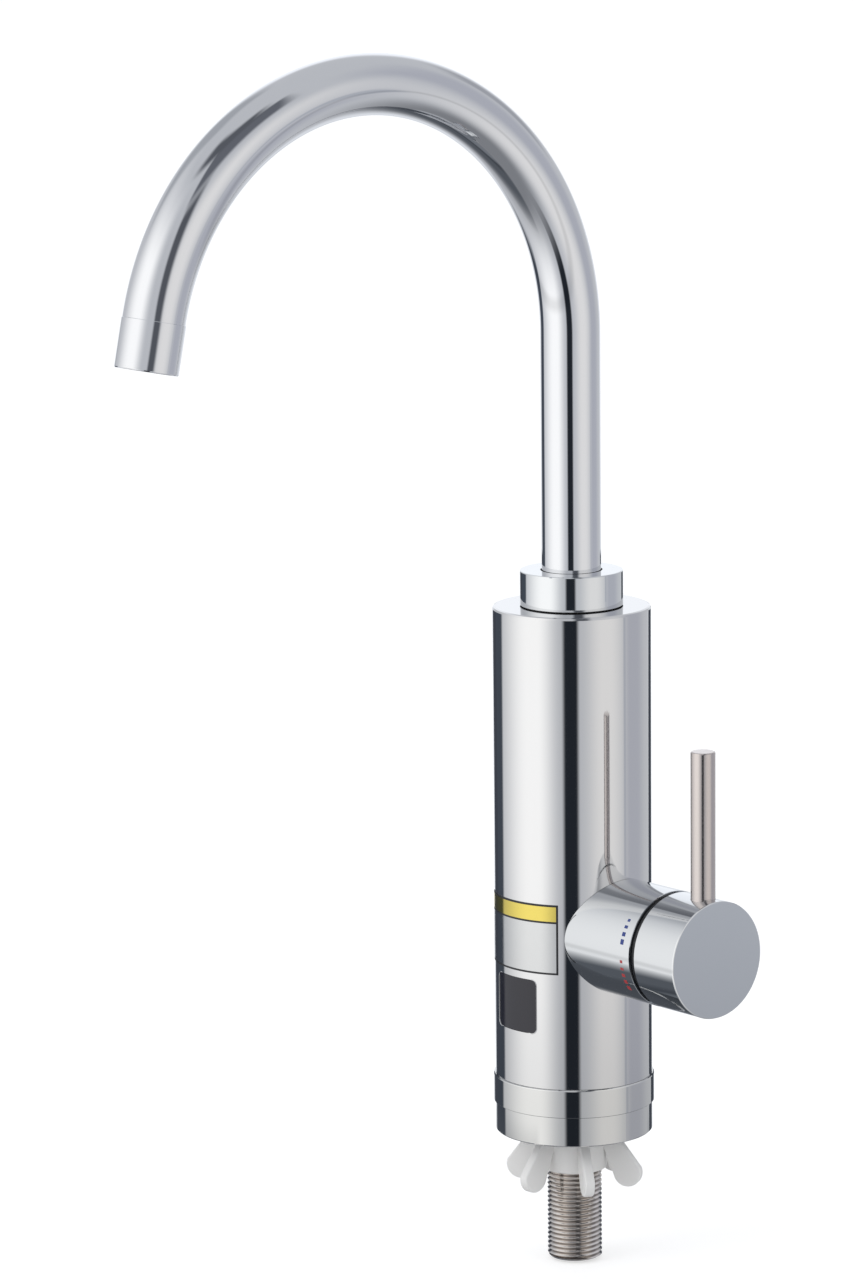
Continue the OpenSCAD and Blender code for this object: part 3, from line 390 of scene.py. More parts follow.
def spun(bm, profile, place=None, *, steps):
    """Spins a closed outline of (radius, height) points about Z, then puts it in its place.

    Faces that were there before are tagged, so that only the new ones are merged and moved. The
    list of new faces is kept from before their normals are set, because that changes the tags.
    """

    def fresh():
        return [f for f in bm.faces if not f.tag]

    points = [bm.verts.new(mm(r, 0, z)) for r, z in profile]
    edges = [bm.edges.new(pair) for pair in zip(points, points[1:] + points[:1])]
    bmesh.ops.spin(
        bm, geom=points + edges, cent=(0, 0, 0), axis=(0, 0, 1), angle=2 * math.pi, steps=steps,
        use_merge=True,
    )
    bmesh.ops.remove_doubles(bm, verts=verts_of(fresh()), dist=1e-7)
    edges = list(dict.fromkeys(e for f in fresh() for e in f.edges))
    bmesh.ops.dissolve_degenerate(bm, edges=edges, dist=1e-7)
    faces = fresh()
    bmesh.ops.recalc_face_normals(bm, faces=faces)
    if place is not None:
        bmesh.ops.transform(bm, matrix=place, verts=verts_of(faces))
    for f in faces:
        f.tag = True


def softened(bm, width, least, pick=lambda e: True):
    """Rounds the picked edges that turn by more than least degrees, by width millimetres."""
    sharp = [
        e
        for e in bm.edges
        if len(e.link_faces) == 2 and e.calc_face_angle(0) > math.radians(least) and pick(e)
    ]
    bmesh.ops.bevel(
        bm, geom=sharp, offset=mm(width), offset_type="OFFSET", segments=4, profile=0.5,
        affect="EDGES", material=-1, clamp_overlap=True,
    )


def carved(piece, operation, *tools):
    """Cuts or joins solids with the piece, and takes the tools away."""
    for tool in tools:
        cut = piece.modifiers.new("cut", "BOOLEAN")
        cut.object = tool
        cut.operation = operation
        cut.solver = "EXACT"
    bpy.context.view_layer.update()
    result = piece.evaluated_get(bpy.context.evaluated_depsgraph_get())
    mesh = bpy.data.meshes.new_from_object(result)
    piece.modifiers.clear()
    piece.data = mesh
    for tool in tools:
        bpy.data.objects.remove(tool)


def reopened(piece):
    """A carved piece's mesh as a bmesh, with the doubles along its cuts merged."""
    bm = bmesh.new()
    bm.from_mesh(piece.data)
    bmesh.ops.remove_doubles(bm, verts=bm.verts, dist=2e-6)
    return bm


def round_normals(piece, centre, axis):
    """Gives faces of revolution about the axis their true normals, so that they mirror cleanly."""
    centre, axis = Vector(centre), Vector(axis).normalized()
    mesh = piece.data
    mesh.shade_smooth()
    mesh.set_sharp_from_angle(angle=math.radians(32))
    given = [c.vector.copy() for c in mesh.corner_normals]

    def outward(point):
        arm = point - centre
        arm -= axis * arm.dot(axis)
        return arm.normalized() if arm.length > 1e-6 else Vector((0, 0, 0))

    for face in mesh.polygons:
        spoke = outward(face.center)
        sideways = abs(face.normal.dot(axis.cross(spoke)))
        if sideways > 0.03 and spoke.length > 0:
            continue
        along, across = face.normal.dot(axis), face.normal.dot(spoke)
        for loop in face.loop_indices:
            corner = mesh.vertices[mesh.loops[loop].vertex_index].co
            true = axis * along + outward(corner) * across
            if true.length > 0.5:
                given[loop] = true.normalized()
    mesh.normals_split_custom_set(given)


def on_valve_axis(along=0.0):
    """Places a piece spun about Z on the valve axis, with its height along +X."""
    return Matrix.Translation(mm(along, 0, VALVE_Z)) @ Matrix.Rotation(math.pi / 2, 4, "Y")


AXIS_POINT = mm(0, 0, VALVE_Z)


# ---------------------------------------------------------------- column and base


def window_tool():
    """A bar with round corners that cuts the window out of the column's front."""
    bm = bmesh.new()
    middle = mm(0, -BODY_R, WINDOW_Z)
    bmesh.ops.create_cube(bm, size=1.0, matrix=Matrix.Translation(middle))
    size = mm(WINDOW_W, 20, WINDOW_H)
    bmesh.ops.scale(bm, vec=size, verts=bm.verts, space=Matrix.Translation(-middle))
    corners = [e for e in bm.edges if abs((e.verts[0].co - e.verts[1].co).normalized().y) > 0.9]
    bmesh.ops.bevel(
        bm, geom=corners, offset=mm(WINDOW_CORNER), offset_type="OFFSET", segments=8, profile=0.5,
        affect="EDGES", material=-1, clamp_overlap=True,
    )
    return piece_of("window_tool", bm)


def round_tool(name, radius, length, place, steps):
    """A plain round bar for cutting, spun about Z and put in its place."""
    bm = bmesh.new()
    spun(bm, [(0, 0), (radius, 0), (radius, length), (0, length)], place, steps=steps)
    return piece_of(name, bm)


def window_rim(bm):
    """The rounded lip round the window's cut edge: a fine bead that follows the wall."""
    bead, sides = 0.17, 8
    flat_w, flat_h = WINDOW_W / 2 - WINDOW_CORNER, WINDOW_H / 2 - WINDOW_CORNER
    turns = [2 * math.pi * k / sides for k in range(sides)]
    rings = []
    for quarter, (side, end) in enumerate(((1, 1), (-1, 1), (-1, -1), (1, -1))):
        for step in range(9):
            a = math.radians(90 * quarter + 11.25 * step)
            x = side * flat_w + WINDOW_CORNER * math.cos(a)
            z = WINDOW_Z + end * flat_h + WINDOW_CORNER * math.sin(a)
            out = Vector((x, -math.sqrt(BODY_R * BODY_R - x * x), 0)) / BODY_R
            along = Vector((-out.y, out.x, 0)) * math.cos(a) + Vector((0, 0, math.sin(a)))
            spot = out * BODY_R + Vector((0, 0, z))
            ring = [spot + (along * math.cos(t) + out * math.sin(t)) * bead for t in turns]
            rings.append([bm.verts.new(mm(*point)) for point in ring])
    for ring, following in zip(rings, rings[1:] + rings[:1]):
        for k in range(sides):
            bm.faces.new((ring[k], ring[k - 1], following[k - 1], following[k]))


def column_can():
    """The steel can: one wall, a bevelled top edge, the window and the valve's hole."""
    bm = bmesh.new()
    wall, lid = BODY_R - 1, BODY_H - 1
    spun(bm, [
        (wall, 22.3), (29.85, 22.3), (BODY_R, 22.45), (BODY_R, lid), (29.72, 203.52),
        (wall, BODY_H), (14.7, BODY_H), (14.7, lid), (wall, lid),
    ], steps=256)
    piece = piece_of("column_can", bm, CAN)
    hole = round_tool("valve_hole_tool", 19.2, 40, on_valve_axis(5), 96)
    carved(piece, "DIFFERENCE", window_tool(), hole)
    bm = reopened(piece)
    window_rim(bm)
    bm.to_mesh(piece.data)
    bm.free()
    round_normals(piece, (0, 0, 0), (0, 0, 1))
    stand_in(piece, "column", "chrome", "body_shell")


def base_band():
    """The band over the foot, with the small radii that plated edges have."""
    bm = bmesh.new()
    r = BAND_R
    spun(bm, [
        (26.4, 7.2), (27.7, 7.2), (27.7, 11.2), (29.3, 11.2), (29.3, 11.5), (r - 0.13, 11.5),
        (r, 11.63), (r, 21.8), (r - 0.09, 22.1), (r - 0.4, 22.3), (28.9, 22.3), (28.9, 29),
        (26.4, 29),
    ], steps=256)
    piece = piece_of("base_band_bright", bm, BASE_CHROME)
    round_normals(piece, (0, 0, 0), (0, 0, 1))
    stand_in(piece, "column", "chrome_plastic", "base_band")


def collar():
    """The collar that holds the spout, with a raised foot ring, and painted shade on the faces under
    it and inside its lip.
    """
    bm = bmesh.new()
    foot, top, r = BODY_H, BODY_H + COLLAR_H, COLLAR_R
    spun(bm, [
        (14.6, foot), (18.6, foot), (18.6, foot + 0.4), (r, foot + 0.4), (r + 0.08, foot + 0.5),
        (r, foot + 3.6), (r, top - 0.4), (r - 0.12, top - 0.12), (r - 0.4, top), (11.75, top),
        (11.6, top - 0.15), (11.6, top - 3.2), (14.6, top - 3.2),
    ], steps=224)
    # Painted shade: the faces in the groove under the foot ring and inside the lip take the dark
    # rubber material, which stands for the shadow in these narrow gaps
    for face in bm.faces:
        middle = face.calc_center_median()
        under = middle.z < mm(foot + 0.41) and middle.xy.length < mm(r - 0.01)
        inside = middle.xy.length < mm(11.7)
        face.material_index = 1 if under or inside else 0
    piece = piece_of("spout_collar_bright", bm, CHROME, RUBBER_AND_PAINTED_SHADE)
    round_normals(piece, (0, 0, 0), (0, 0, 1))
    stand_in(piece, "column", "chrome_plastic", "spout_collar")


def wrapped(bm, radius, from_deg, to_deg, low, high, steps, tint):
    """A thin film patch on a round wall about Z, from one angle to another, 0.15 mm thick."""
    old = set(bm.faces)
    outer = radius + 0.15
    corners = ((radius, low), (outer, low), (outer, high), (radius, high))
    points = [bm.verts.new(mm(r, 0, z)) for r, z in corners]
    face = bm.faces.new(points)
    begin = Matrix.Rotation(FRONT + math.radians(from_deg), 3, "Z")
    bmesh.ops.rotate(bm, cent=(0, 0, 0), matrix=begin, verts=points)
    around = math.radians(to_deg - from_deg)
    bmesh.ops.spin(
        bm, geom=[face], cent=(0, 0, 0), axis=(0, 0, 1), angle=around, steps=steps
    )
    fresh = [f for f in bm.faces if f not in old]
    bmesh.ops.recalc_face_normals(bm, faces=fresh)
    for f in fresh:
        f.material_index = tint
    return fresh


def label():
    """A blank label: a pale film with a yellow band at its top and thin dark frame lines."""
    bm = bmesh.new()
    left, right, low, high = -38.0, 38.0, 67.0, 94.0
    band, line = 86.8, 0.75
    turn_of_line = math.degrees(line / BODY_R)
    inner = (left + turn_of_line, right - turn_of_line)
    r = BODY_R + 0.03
    wrapped(bm, r, *inner, low + line, band, 64, 0)
    wrapped(bm, r, *inner, band + line, high - line, 64, 1)
    for z in (low, band, high - line):
        wrapped(bm, r, *inner, z, z + line, 64, 2)
    wrapped(bm, r, left, inner[0], low, high, 2, 2)
    wrapped(bm, r, inner[1], right, low, high, 2, 2)
    piece = piece_of("blank_label", bm, FILM, YELLOW, BLACK_INK)
    round_normals(piece, (0, 0, 0), (0, 0, 1))
    stand_in(piece, "column", "label", "label_film")


# ---------------------------------------------------------------- valve


def housing():
    """The valve housing: a round sleeve whose end follows the column, with a soft bright rim."""
    bm = bmesh.new()
    end = HOUSING_END
    spun(bm, [(20, 8), (KNOB_R, 8), (KNOB_R, end - 0.2), (KNOB_R - 0.2, end), (20, end)],
         on_valve_axis(), steps=256)
    piece = piece_of("valve_housing_bright", bm, CHROME)
    saddle = BODY_R + 0.15
    below = Matrix.Translation(mm(0, 0, VALVE_Z - 30))
    carved(piece, "DIFFERENCE", round_tool("column_tool", saddle, 60, below, 512))
    bm = reopened(piece)

    def on_saddle(edge):
        return all(
            abs(math.hypot(v.co.x, v.co.y) - mm(saddle)) < 3e-5
            and abs(math.hypot(v.co.y, v.co.z - mm(VALVE_Z)) - mm(KNOB_R)) < 3e-5
            for v in edge.verts
        )

    softened(bm, 0.45, 12, on_saddle)
    bm.to_mesh(piece.data)
    bm.free()
    round_normals(piece, AXIS_POINT, (1, 0, 0))
    stand_in(piece, "column", "chrome_plastic", "valve_housing")


def knob():
    """The knob: a mirror cup with a flat face, bored for the lever and its set screw."""
    bm = bmesh.new()
    r, back, face = KNOB_R, KNOB_BACK, KNOB_FACE
    spun(bm, [
        (4.05, 60.3), (9, 60.3), (9, 76.8), (19.6, 76.8), (19.6, back), (r - 0.15, back),
        (r, back + 0.15), (r, face - 0.4), (r - 0.12, face - 0.12), (r - 0.4, face), (0, face),
        (0, 71.1), (4.05, 71.1),
    ], on_valve_axis(), steps=256)
    piece = piece_of("knob_bright", bm, CHROME)
    above = Matrix.Translation(mm(LEVER_X, 0, VALVE_Z + 21))
    socket = round_tool("lever_hole_tool", LEVER_R + 0.05, 10, above, 96)
    below = Matrix.Translation(mm(66, 0, VALVE_Z - 24))
    screw_way = round_tool("screw_hole_tool", 2.05, 20, below, 64)
    carved(piece, "DIFFERENCE", socket, screw_way)
    round_normals(piece, AXIS_POINT, (1, 0, 0))
    stand_in(piece, "handle", "chrome_plastic", "knob")


def lever():
    """The pin lever: a satin rod with a bevelled tip and a small neck where it meets the knob."""
    bm = bmesh.new()
    r, top, neck = LEVER_R, LEVER_TOP, 101.3
    spun(bm, [
        (0, 92.8), (2.5, 92.8), (2.5, neck), (r - 0.25, neck), (r, neck + 0.3), (r, top - 0.5),
        (r - 0.15, top - 0.15), (r - 0.5, top), (0, top),
    ], Matrix.Translation(mm(LEVER_X, 0, 0)), steps=128)
    piece = piece_of("pin_lever", bm, LEVER)
    round_normals(piece, mm(LEVER_X, 0, 0), (0, 0, 1))
    stand_in(piece, "handle", "lever_steel", "lever")


def dial_marks():
    """Plain marks on the housing: a dot and growing bars in blue, and the same in red."""
    bm = bmesh.new()
    # Each mark's angle from the top in degrees, its size along the axis and round it, and its ink
    rows = [
        (54.0, 1.3, 1.1, 0), (61.0, 1.7, 1.2, 0), (68.4, 1.7, 1.6, 0), (76.0, 1.7, 2.0, 0),
        (95.5, 1.3, 1.1, 1), (103.0, 1.7, 1.0, 1), (110.0, 1.7, 1.3, 1), (117.5, 1.7, 1.6, 1),
        (125.5, 1.7, 2.0, 1),
    ]
    # wrapped() starts its angle at -Y, and on the valve axis that is turned to start at the top
    to_top = Matrix.Rotation(math.pi - FRONT, 3, "Z")
    line_x = 52.3
    for angle, along, across, tint in rows:
        half = math.degrees(across / KNOB_R / 2)
        low, high = line_x - along / 2, line_x + along / 2
        mark = wrapped(bm, KNOB_R - 0.1, angle - half, angle + half, low, high, 3, tint)
        bmesh.ops.rotate(bm, cent=(0, 0, 0), matrix=to_top, verts=verts_of(mark))
        bmesh.ops.transform(bm, matrix=on_valve_axis(), verts=verts_of(mark))
    piece = piece_of("dial_marks", bm, BLUE_INK, RED_INK)
    round_normals(piece, AXIS_POINT, (1, 0, 0))
    stand_in(piece, "column", "label")


# ---------------------------------------------------------------- spout


def spout_way():
    """Places a piece at the end of the gooseneck, with its height along the flow of the water."""
    return (
        Matrix.Translation(mm(0, -BEND_R, BEND_Z))
        @ Matrix.Rotation(SWEEP, 4, "X")
        @ Matrix.Translation(mm(0, BEND_R, 0))
    )


def gooseneck():
    """The pipe: two circles drawn up the column's axis and then swept round the bend."""
    bm = bmesh.new()
    foot = Matrix.Translation(mm(0, 0, PIPE_FOOT))
    for radius in (PIPE_R, PIPE_R - PIPE_WALL):
        circle = bmesh.ops.create_circle(
            bm, cap_ends=False, radius=mm(radius), segments=112, matrix=foot
        )["verts"]
        edges = [e for e in bm.edges if e.verts[0] in circle and e.verts[1] in circle]
        raised = bmesh.ops.extrude_edge_only(bm, edges=edges)["geom"]
        top = [v for v in raised if isinstance(v, bmesh.types.BMVert)]
        bmesh.ops.translate(bm, vec=mm(0, 0, BEND_Z - PIPE_FOOT), verts=top)
        rim = [
            e
            for e in raised
            if isinstance(e, bmesh.types.BMEdge) and all(v in top for v in e.verts)
        ]
        bmesh.ops.spin(
            bm, geom=top + rim, cent=mm(0, -BEND_R, BEND_Z), axis=(1, 0, 0), angle=SWEEP, steps=128
        )
    ends = [e for e in bm.edges if e.is_boundary]
    at_foot = [e for e in ends if max(v.co.z for v in e.verts) < mm(PIPE_FOOT + 1)]
    at_mouth = [e for e in ends if e not in at_foot]
    bmesh.ops.bridge_loops(bm, edges=at_foot)
    bmesh.ops.bridge_loops(bm, edges=at_mouth)
    bmesh.ops.recalc_face_normals(bm, faces=bm.faces)
    piece = piece_of("gooseneck_pipe", bm, PIPE)
    stand_in(piece, "spout", "chrome", "spout_pipe")


def nozzle():
    """The sleeve at the mouth, with a rolled lip."""
    bm = bmesh.new()
    r, end, way = NOZZLE_R, NOZZLE_LENGTH, spout_way()
    spun(bm, [
        (8.75, -3), (9.95, -3), (9.95, 0), (r - 0.12, 0), (r, 0.12), (r, end - 0.5),
        (r - 0.12, end - 0.15), (r - 0.4, end), (10.2, end), (9.95, end - 0.25), (9.95, 8.4),
        (8.75, 8.4),
    ], way, steps=160)
    piece = piece_of("nozzle_sleeve_bright", bm, PIPE)
    round_normals(piece, way.translation, way.to_3x3() @ Vector((0, 0, 1)))
    stand_in(piece, "spout", "chrome", "nozzle_sleeve")


# ---------------------------------------------------------------- tail and nut


def threaded_end():
    """The tail: a helical pipe thread at its real pitch, the flange and the pipe in the column.

    The helix starts below the tail and ends in the flange, and both ends are cut off flat.
    """
    bm = bmesh.new()
    crest, root = THREAD_R, THREAD_R - 1.16
    # One turn of the thread: the share of the pitch, and the radius there
    turn = [
        (0.0, root), (0.09, root + 0.1), (0.4, crest - 0.13), (0.5, crest), (0.6, crest - 0.13),
        (0.91, root + 0.1),
    ]
    first, count, steps = -55.0, 33, 96
    points = [
        bm.verts.new(mm(r, 0, first + PITCH * (lap + share)))
        for lap in range(count)
        for share, r in turn
    ]
    points.append(bm.verts.new(mm(root, 0, first + PITCH * count)))
    edges = [bm.edges.new(pair) for pair in zip(points, points[1:])]
    bmesh.ops.spin(
        bm, geom=points + edges, cent=(0, 0, 0), axis=(0, 0, 1), dvec=mm(0, 0, PITCH / steps),
        angle=2 * math.pi, steps=steps,
    )
    bmesh.ops.remove_doubles(bm, verts=bm.verts, dist=2e-6)
    for height, away in ((-50.35, -1), (4.2, 1)):
        bmesh.ops.bisect_plane(
            bm, geom=bm.verts[:] + bm.edges[:] + bm.faces[:], plane_co=mm(0, 0, height),
            plane_no=(0, 0, away), clear_outer=True,
        )
    bmesh.ops.recalc_face_normals(bm, faces=bm.faces)
    for face in bm.faces:
        face.tag = True
    bore, end = 6.5, TAIL_END
    spun(bm, [
        (bore, end), (9.2, end), (9.5, end + 0.1), (10.2, end + 0.8), (9.3, end + 1.2),
        (bore, end + 1.2),
    ], steps=96)
    spun(bm, [
        (bore, end + 1.2), (root + 0.02, end + 1.2), (root + 0.02, 6.5), (12.9, 6.5), (12.9, 10.5),
        (8.5, 10.5), (8.5, 58), (bore, 58),
    ], steps=96)
    piece = piece_of("threaded_end", bm, THREAD)
    stand_in(piece, "column", "steel", "threaded_tail")


def wing_tool(number):
    """One wing of the nut: a disc drawn in to its root, given its thickness and softened."""
    bm = bmesh.new()
    lobe, root = mm(21.5, 0, -16.4), mm(15.4, 0, -5.5)
    lobe_r, root_r, thick = 5.5, 3.6, 3.8
    place = Matrix.Translation(lobe) @ Matrix.Rotation(math.pi / 2, 4, "X")
    bmesh.ops.create_circle(bm, cap_ends=True, radius=mm(lobe_r), segments=48, matrix=place)
    run = (root - lobe).normalized()
    near = [v for v in bm.verts if (v.co - lobe).dot(run) > 1e-6]
    smaller = Vector((root_r / lobe_r,) * 3)
    bmesh.ops.scale(bm, vec=smaller, space=Matrix.Translation(-lobe), verts=near)
    bmesh.ops.translate(bm, vec=root - lobe, verts=near)
    made = bmesh.ops.extrude_face_region(bm, geom=bm.faces[:])["geom"]
    raised = [v for v in made if isinstance(v, bmesh.types.BMVert)]
    bmesh.ops.translate(bm, vec=mm(0, thick, 0), verts=raised)
    bmesh.ops.translate(bm, vec=mm(0, -thick / 2, 0), verts=bm.verts)
    bmesh.ops.recalc_face_normals(bm, faces=bm.faces)
    softened(bm, 0.7, 60)
    turned = Matrix.Rotation(math.radians(60 * number - 28.1), 3, "Z")
    bmesh.ops.rotate(bm, cent=(0, 0, 0), matrix=turned, verts=bm.verts)
    return piece_of(f"wing_tool_{number}", bm)


def wing_nut():
    """The nylon nut: a hub on the thread with six paddle wings, each moulded with round edges."""
    bm = bmesh.new()
    bore, r, low, high = 10.53, 12.5, -15.6, -1.9
    spun(bm, [
        (bore, low), (r - 0.4, low), (r, low + 0.4), (r, high - 0.3), (r - 0.3, high), (bore, high),
    ], steps=144)
    piece = piece_of("nylon_wing_nut", bm, NYLON)
    carved(piece, "UNION", *(wing_tool(number) for number in range(6)))
    piece.data.shade_smooth()
    piece.data.set_sharp_from_angle(angle=math.radians(40))
    stand_in(piece, "nut", "white_nylon", "wing_nut")


column_can()
base_band()
collar()
label()
housing()
knob()
lever()
dial_marks()
gooseneck()
nozzle()
threaded_end()
wing_nut()


# ---------------------------------------------------------------- studio

FLOOR_Z = -52
TENT_R = 6.0
TENT_GLOW = 1.4
DUSK_GLOW = 1.16
PER_RADIAN = 180 / math.pi
FADE_OUT = {"To Min": 1, "To Max": 0}


def studio_world():
    """Lights the object evenly, while the camera, mirrors and glass see a plain white world."""
    world = bpy.data.worlds.new("pale_studio")
    bpy.context.scene.world = world
    world.use_nodes = True
    tree = world.node_tree
    tree.nodes.clear()
    path = put(tree, "LightPath").outputs
    seen = path["Is Camera Ray"]
    for ray in ("Is Glossy Ray", "Is Transmission Ray"):
        seen = put(tree, "Math", {0: seen, 1: path[ray]}, operation="MAXIMUM").outputs[0]
    even = put(tree, "Background", {"Color": linear("#f4f6fa"), "Strength": 0.72})
    white = put(tree, "Background", {"Color": (1, 1, 1, 1), "Strength": 1.0})
    both = put(tree, "MixShader", {0: seen, 1: even.outputs[0], 2: white.outputs[0]})
    put(tree, "OutputWorld", {"Surface": both.outputs[0]})


def floor():
    """A pale floor just under the tail, which keeps the object's shadow and is clear from below.

    It glows a little: the camera sees it near white, and dull surfaces get some light from it.
    Mirrors don't see it.
    """
    bm = bmesh.new()
    level = Matrix.Translation(mm(0, 0, FLOOR_Z))
    bmesh.ops.create_grid(bm, x_segments=1, y_segments=1, size=12, matrix=level)
    material, tree, surface, _ = start("pale_floor", "#c8c8c8", 0.0, 0.9)
    path = put(tree, "LightPath").outputs
    seen = put(tree, "Math", {0: path["Is Camera Ray"], 1: 0.6}, operation="MULTIPLY").outputs[0]
    lit = put(tree, "Math", {0: path["Is Diffuse Ray"], 1: 0.23}, operation="MULTIPLY").outputs[0]
    shine = put(tree, "Math", {0: seen, 1: lit}, operation="ADD").outputs[0]
    glow = put(tree, "Emission", {"Color": (1, 1, 1, 1), "Strength": shine})
    pale = put(tree, "AddShader", {0: surface.outputs[0], 1: glow.outputs[0]})
    clear = put(tree, "BsdfTransparent")
    under = put(tree, "NewGeometry").outputs["Backfacing"]
    mixed = put(tree, "MixShader", {0: under, 1: pale.outputs[0], 2: clear.outputs[0]})
    tree.links.new(mixed.outputs[0], tree.nodes["Material Output"].inputs["Surface"])
    piece = piece_of("floor", bm, material)
    piece.visible_glossy = False


def mirror_only(piece):
    """Keeps a studio piece for reflections alone."""
    piece.visible_camera = False
    piece.visible_diffuse = False
    piece.visible_shadow = False
    piece.visible_transmission = False


def bare(name):
    """A studio material with an empty tree, and the place of each point."""
    material = bpy.data.materials.new(name)
    material.use_nodes = True
    tree = material.node_tree
    tree.nodes.clear()
    return material, tree, put(tree, "TexCoord").outputs["Object"]


def dark_where(tree, cover, tone):
    """Ends a studio material: a dark tone where cover is 1, and clear where it is 0."""
    glow = put(tree, "Emission", {"Color": tone, "Strength": TENT_GLOW})
    clear = put(tree, "BsdfTransparent")
    mixed = put(tree, "MixShader", {0: cover, 1: clear.outputs[0], 2: glow.outputs[0]})
    put(tree, "OutputMaterial", {"Surface": mixed.outputs[0]})


# The cloth tent that chrome is photographed in. Each panel has its turn from the camera's side,
# where it fades in and out, then its elevation in the same way, all in degrees, and its tone. 400
# is past every angle, so a panel has no edge there. A later panel lies over an earlier one
TENT_PANELS = [
    ("right_cloth", (73, 94, 108, 134), (-34, -18, 30, 60), "#a6a8b0"),
    ("low_cloth", (-401, -400, 400, 401), (-401, -400, -64, -27), "#797b7f"),
    ("left_rear_cloth", (-162, -150, -128, -112), (18, 28, 52, 66), "#9c9fa4"),
    ("right_rear_cloth", (126, 137, 149, 159), (12, 19, 30, 40), "#989aa0"),
    ("left_softbox", (-137, -66, -52, -13), (-60, -14, 28, 62), "#f9f9f8"),
    ("right_softbox", (10, 46, 56, 94), (-64, -20, 14, 40), "#d8d7d6"),
    ("right_seam", (79.5, 81.5, 83.5, 86), (-22, -17, -8, -3), "#a5a8af"),
    ("rear_cloth", (156, 174, 400, 401), (0, 6, 28, 46), "#e6e9ee"),
    ("rear_cloth", (-401, -400, -168, -152), (0, 6, 28, 46), "#e6e9ee"),
    ("rear_low_cloth", (140, 160, 400, 401), (-46, -26, 2, 8), "#cfd2d7"),
    ("rear_low_cloth", (-401, -400, -160, -148), (-46, -26, 2, 8), "#cfd2d7"),
    ("roof_gap", (-4, 6, 56, 68), (38, 47, 62, 68), "#5e6168"),
    ("roof_gap_high", (-56, -22, 32, 58), (57, 64, 70, 78), "#54575d"),
    ("slot_high", (0, 9, 21, 34), (-4, 4, 34, 46), "#505359"),
    ("slot", (-16, -9.5, 5.5, 12), (-62, -24, 0, 6), "#20242a"),
    ("left_flag", (-153, -146, -126, -119.5), (-30, -16, -4, 4), "#3f454e"),
]


def tent():
    """A round tent that only mirrors see. Its pattern stays where it stands in the room."""
    bm = bmesh.new()
    bmesh.ops.create_uvsphere(bm, u_segments=64, v_segments=32, radius=TENT_R)
    material, tree, place = bare("light_tent")
    first_side = {"Vector": place, "Rotation": (0, 0, -VIEW_AZIMUTH)}
    turned = put(tree, "Mapping", first_side).outputs["Vector"]
    unit = put(tree, "VectorMath", {0: turned}, operation="NORMALIZE").outputs[0]
    parts = put(tree, "SeparateXYZ", {"Vector": unit}).outputs
    back = put(tree, "Math", {0: parts["Y"], 1: -1.0}, operation="MULTIPLY").outputs[0]
    side = put(tree, "Math", {0: parts["X"], 1: back}, operation="ARCTAN2").outputs[0]
    side = put(tree, "Math", {0: side, 1: PER_RADIAN}, operation="MULTIPLY").outputs[0]
    rise = put(tree, "Math", {0: parts["Z"]}, operation="ARCSINE").outputs[0]
    rise = put(tree, "Math", {0: rise, 1: PER_RADIAN}, operation="MULTIPLY").outputs[0]
    tone = put(tree, "RGB").outputs[0]
    tone.default_value = linear("#b5b7bb")
    for name, turns, rises, colour in TENT_PANELS:
        share = 1.0
        for value, (first, full, last, gone) in ((side, turns), (rise, rises)):
            for from_at, to_at in ((first, full), (gone, last)):
                reach = {"Value": value, "From Min": from_at, "From Max": to_at}
                edge = put(tree, "MapRange", reach, interpolation_type="SMOOTHSTEP")
                both = {0: share, 1: edge.outputs[0]}
                share = put(tree, "Math", both, operation="MULTIPLY").outputs[0]
        over = {0: share, 6: tone, 7: linear(colour)}
        tone = put(tree, "Mix", over, data_type="RGBA", label=name).outputs[2]
    # The cloth is a little darker round 16 degrees down, which the column's lower end mirrors
    fall = put(tree, "Math", {0: rise, 1: 16.0}, operation="ADD").outputs[0]
    fall = put(tree, "Math", {0: fall}, operation="ABSOLUTE").outputs[0]
    reach = {"From Min": 1.0, "From Max": 4.0, "To Min": DUSK_GLOW, "To Max": TENT_GLOW}
    dusk = put(tree, "MapRange", {"Value": fall, **reach})
    glow = put(tree, "Emission", {"Color": tone, "Strength": dusk.outputs[0]})
    put(tree, "OutputMaterial", {"Surface": glow.outputs[0]})
    mirror_only(piece_of("light_tent", bm, material))


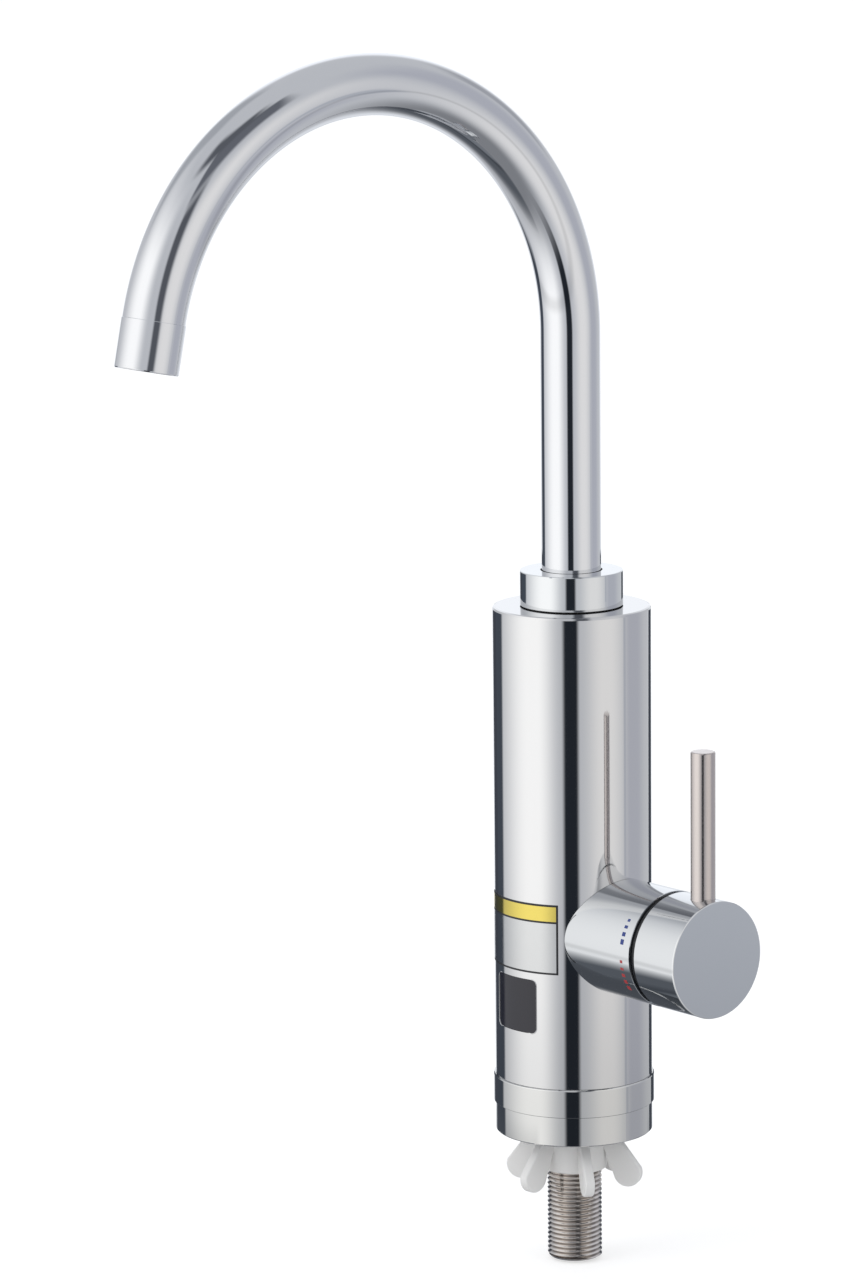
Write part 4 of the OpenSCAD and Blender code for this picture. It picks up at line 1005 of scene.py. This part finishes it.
def stand_top():
    """The dark stand top: chrome sees its left side, and its middle in a reflection's reflection.

    Its tone changes with the distance from the tap's axis, in metres.
    """
    bm = bmesh.new()
    below = Matrix.Translation(mm(0, 0, -100))
    bmesh.ops.create_circle(bm, cap_ends=True, radius=0.43, segments=64, matrix=below)
    material, tree, place = bare("dark_stand_top")
    flat = put(tree, "VectorMath", {0: place, 1: (1, 1, 0)}, operation="MULTIPLY").outputs[0]
    radius = put(tree, "VectorMath", {0: flat}, operation="LENGTH").outputs["Value"]
    ramp = put(tree, "ValToRGB", {"Fac": radius})
    stops = ramp.color_ramp.elements
    for at, tone in ((0.0, "#6a6e74"), (0.1, "#6a6e74"), (0.13, "#3c4046"), (0.17, "#50545a")):
        stop = stops[0] if at == 0.0 else stops.new(at)
        stop.color = linear(tone)
    stops.remove(stops[-1])
    rim = {"From Min": 0.24, "From Max": 0.42, **FADE_OUT}
    near = put(tree, "MapRange", {"Value": radius, **rim}).outputs[0]
    sideways = put(tree, "SeparateXYZ", {"Vector": place}).outputs["X"]
    middle = {"From Min": -0.05, "From Max": 0.0, **FADE_OUT}
    left = put(tree, "MapRange", {"Value": sideways, **middle}).outputs[0]
    bounces = put(tree, "LightPath").outputs["Glossy Depth"]
    twice = put(tree, "Math", {0: bounces, 1: 1.5}, operation="GREATER_THAN").outputs[0]
    part = put(tree, "Math", {0: left, 1: twice}, operation="MAXIMUM").outputs[0]
    cover = put(tree, "Math", {0: near, 1: part}, operation="MULTIPLY").outputs[0]
    dark_where(tree, cover, ramp.outputs["Color"])
    mirror_only(piece_of("stand_top", bm, material))


def rear_awnings():
    """Two dark awnings behind the tap, which give the column and the collar their dark outlines.

    They slope down and outwards and are clear from above, so the spout doesn't mirror them. Their
    outer and inner edges are given by the distance from the tap's axis and the height, in metres.
    """
    bm = bmesh.new()
    for from_deg in (146, 198):
        side = VIEW_AZIMUTH + math.radians(from_deg)
        low, high = (
            bm.verts.new((reach * math.sin(side), -reach * math.cos(side), height))
            for reach, height in ((4.2, -1.226), (0.3, 0.178))
        )
        ends = [low, high, bm.edges.new((low, high))]
        around = math.radians(20)
        bmesh.ops.spin(bm, geom=ends, cent=(0, 0, 0), axis=(0, 0, 1), angle=around, steps=6)
    material, tree, place = bare("dark_rear_strip")
    height = put(tree, "SeparateXYZ", {"Vector": place}).outputs["Z"]
    upper_edge = {"From Min": 0.17, "From Max": 0.176, **FADE_OUT}
    cover = put(tree, "MapRange", {"Value": height, **upper_edge}).outputs[0]
    above = put(tree, "NewGeometry").outputs["Backfacing"]
    below = put(tree, "Math", {0: 1.0, 1: above}, operation="SUBTRACT").outputs[0]
    cover = put(tree, "Math", {0: cover, 1: below}, operation="MULTIPLY").outputs[0]
    dark_where(tree, cover, linear("#3a3e46"))
    mirror_only(piece_of("rear_strip", bm, material))


def lamp(name, azimuth, elevation, size, power):
    """A soft box lamp 2.2 m from the object. Mirrors see the tent's softboxes in its place."""
    light = bpy.data.lights.new(name, "AREA")
    light.shape = "SQUARE"
    light.size = size
    light.energy = power
    stand = bpy.data.objects.new(name, light)
    bpy.context.scene.collection.objects.link(stand)
    a, e = math.radians(azimuth), math.radians(elevation)
    away = Vector((math.sin(a) * math.cos(e), -math.cos(a) * math.cos(e), math.sin(e)))
    stand.location = mm(0, 0, 150) + away * 2.2
    stand.rotation_mode = "QUATERNION"
    stand.rotation_quaternion = away.to_track_quat("Z", "Y")
    stand.visible_glossy = False


studio_world()
floor()
tent()
stand_top()
rear_awnings()
lamp("left_lamp", -16, 30, 1.4, 12)
lamp("right_lamp", 100, 25, 1.2, 3)
bpy.context.scene.view_settings.view_transform = "Standard"
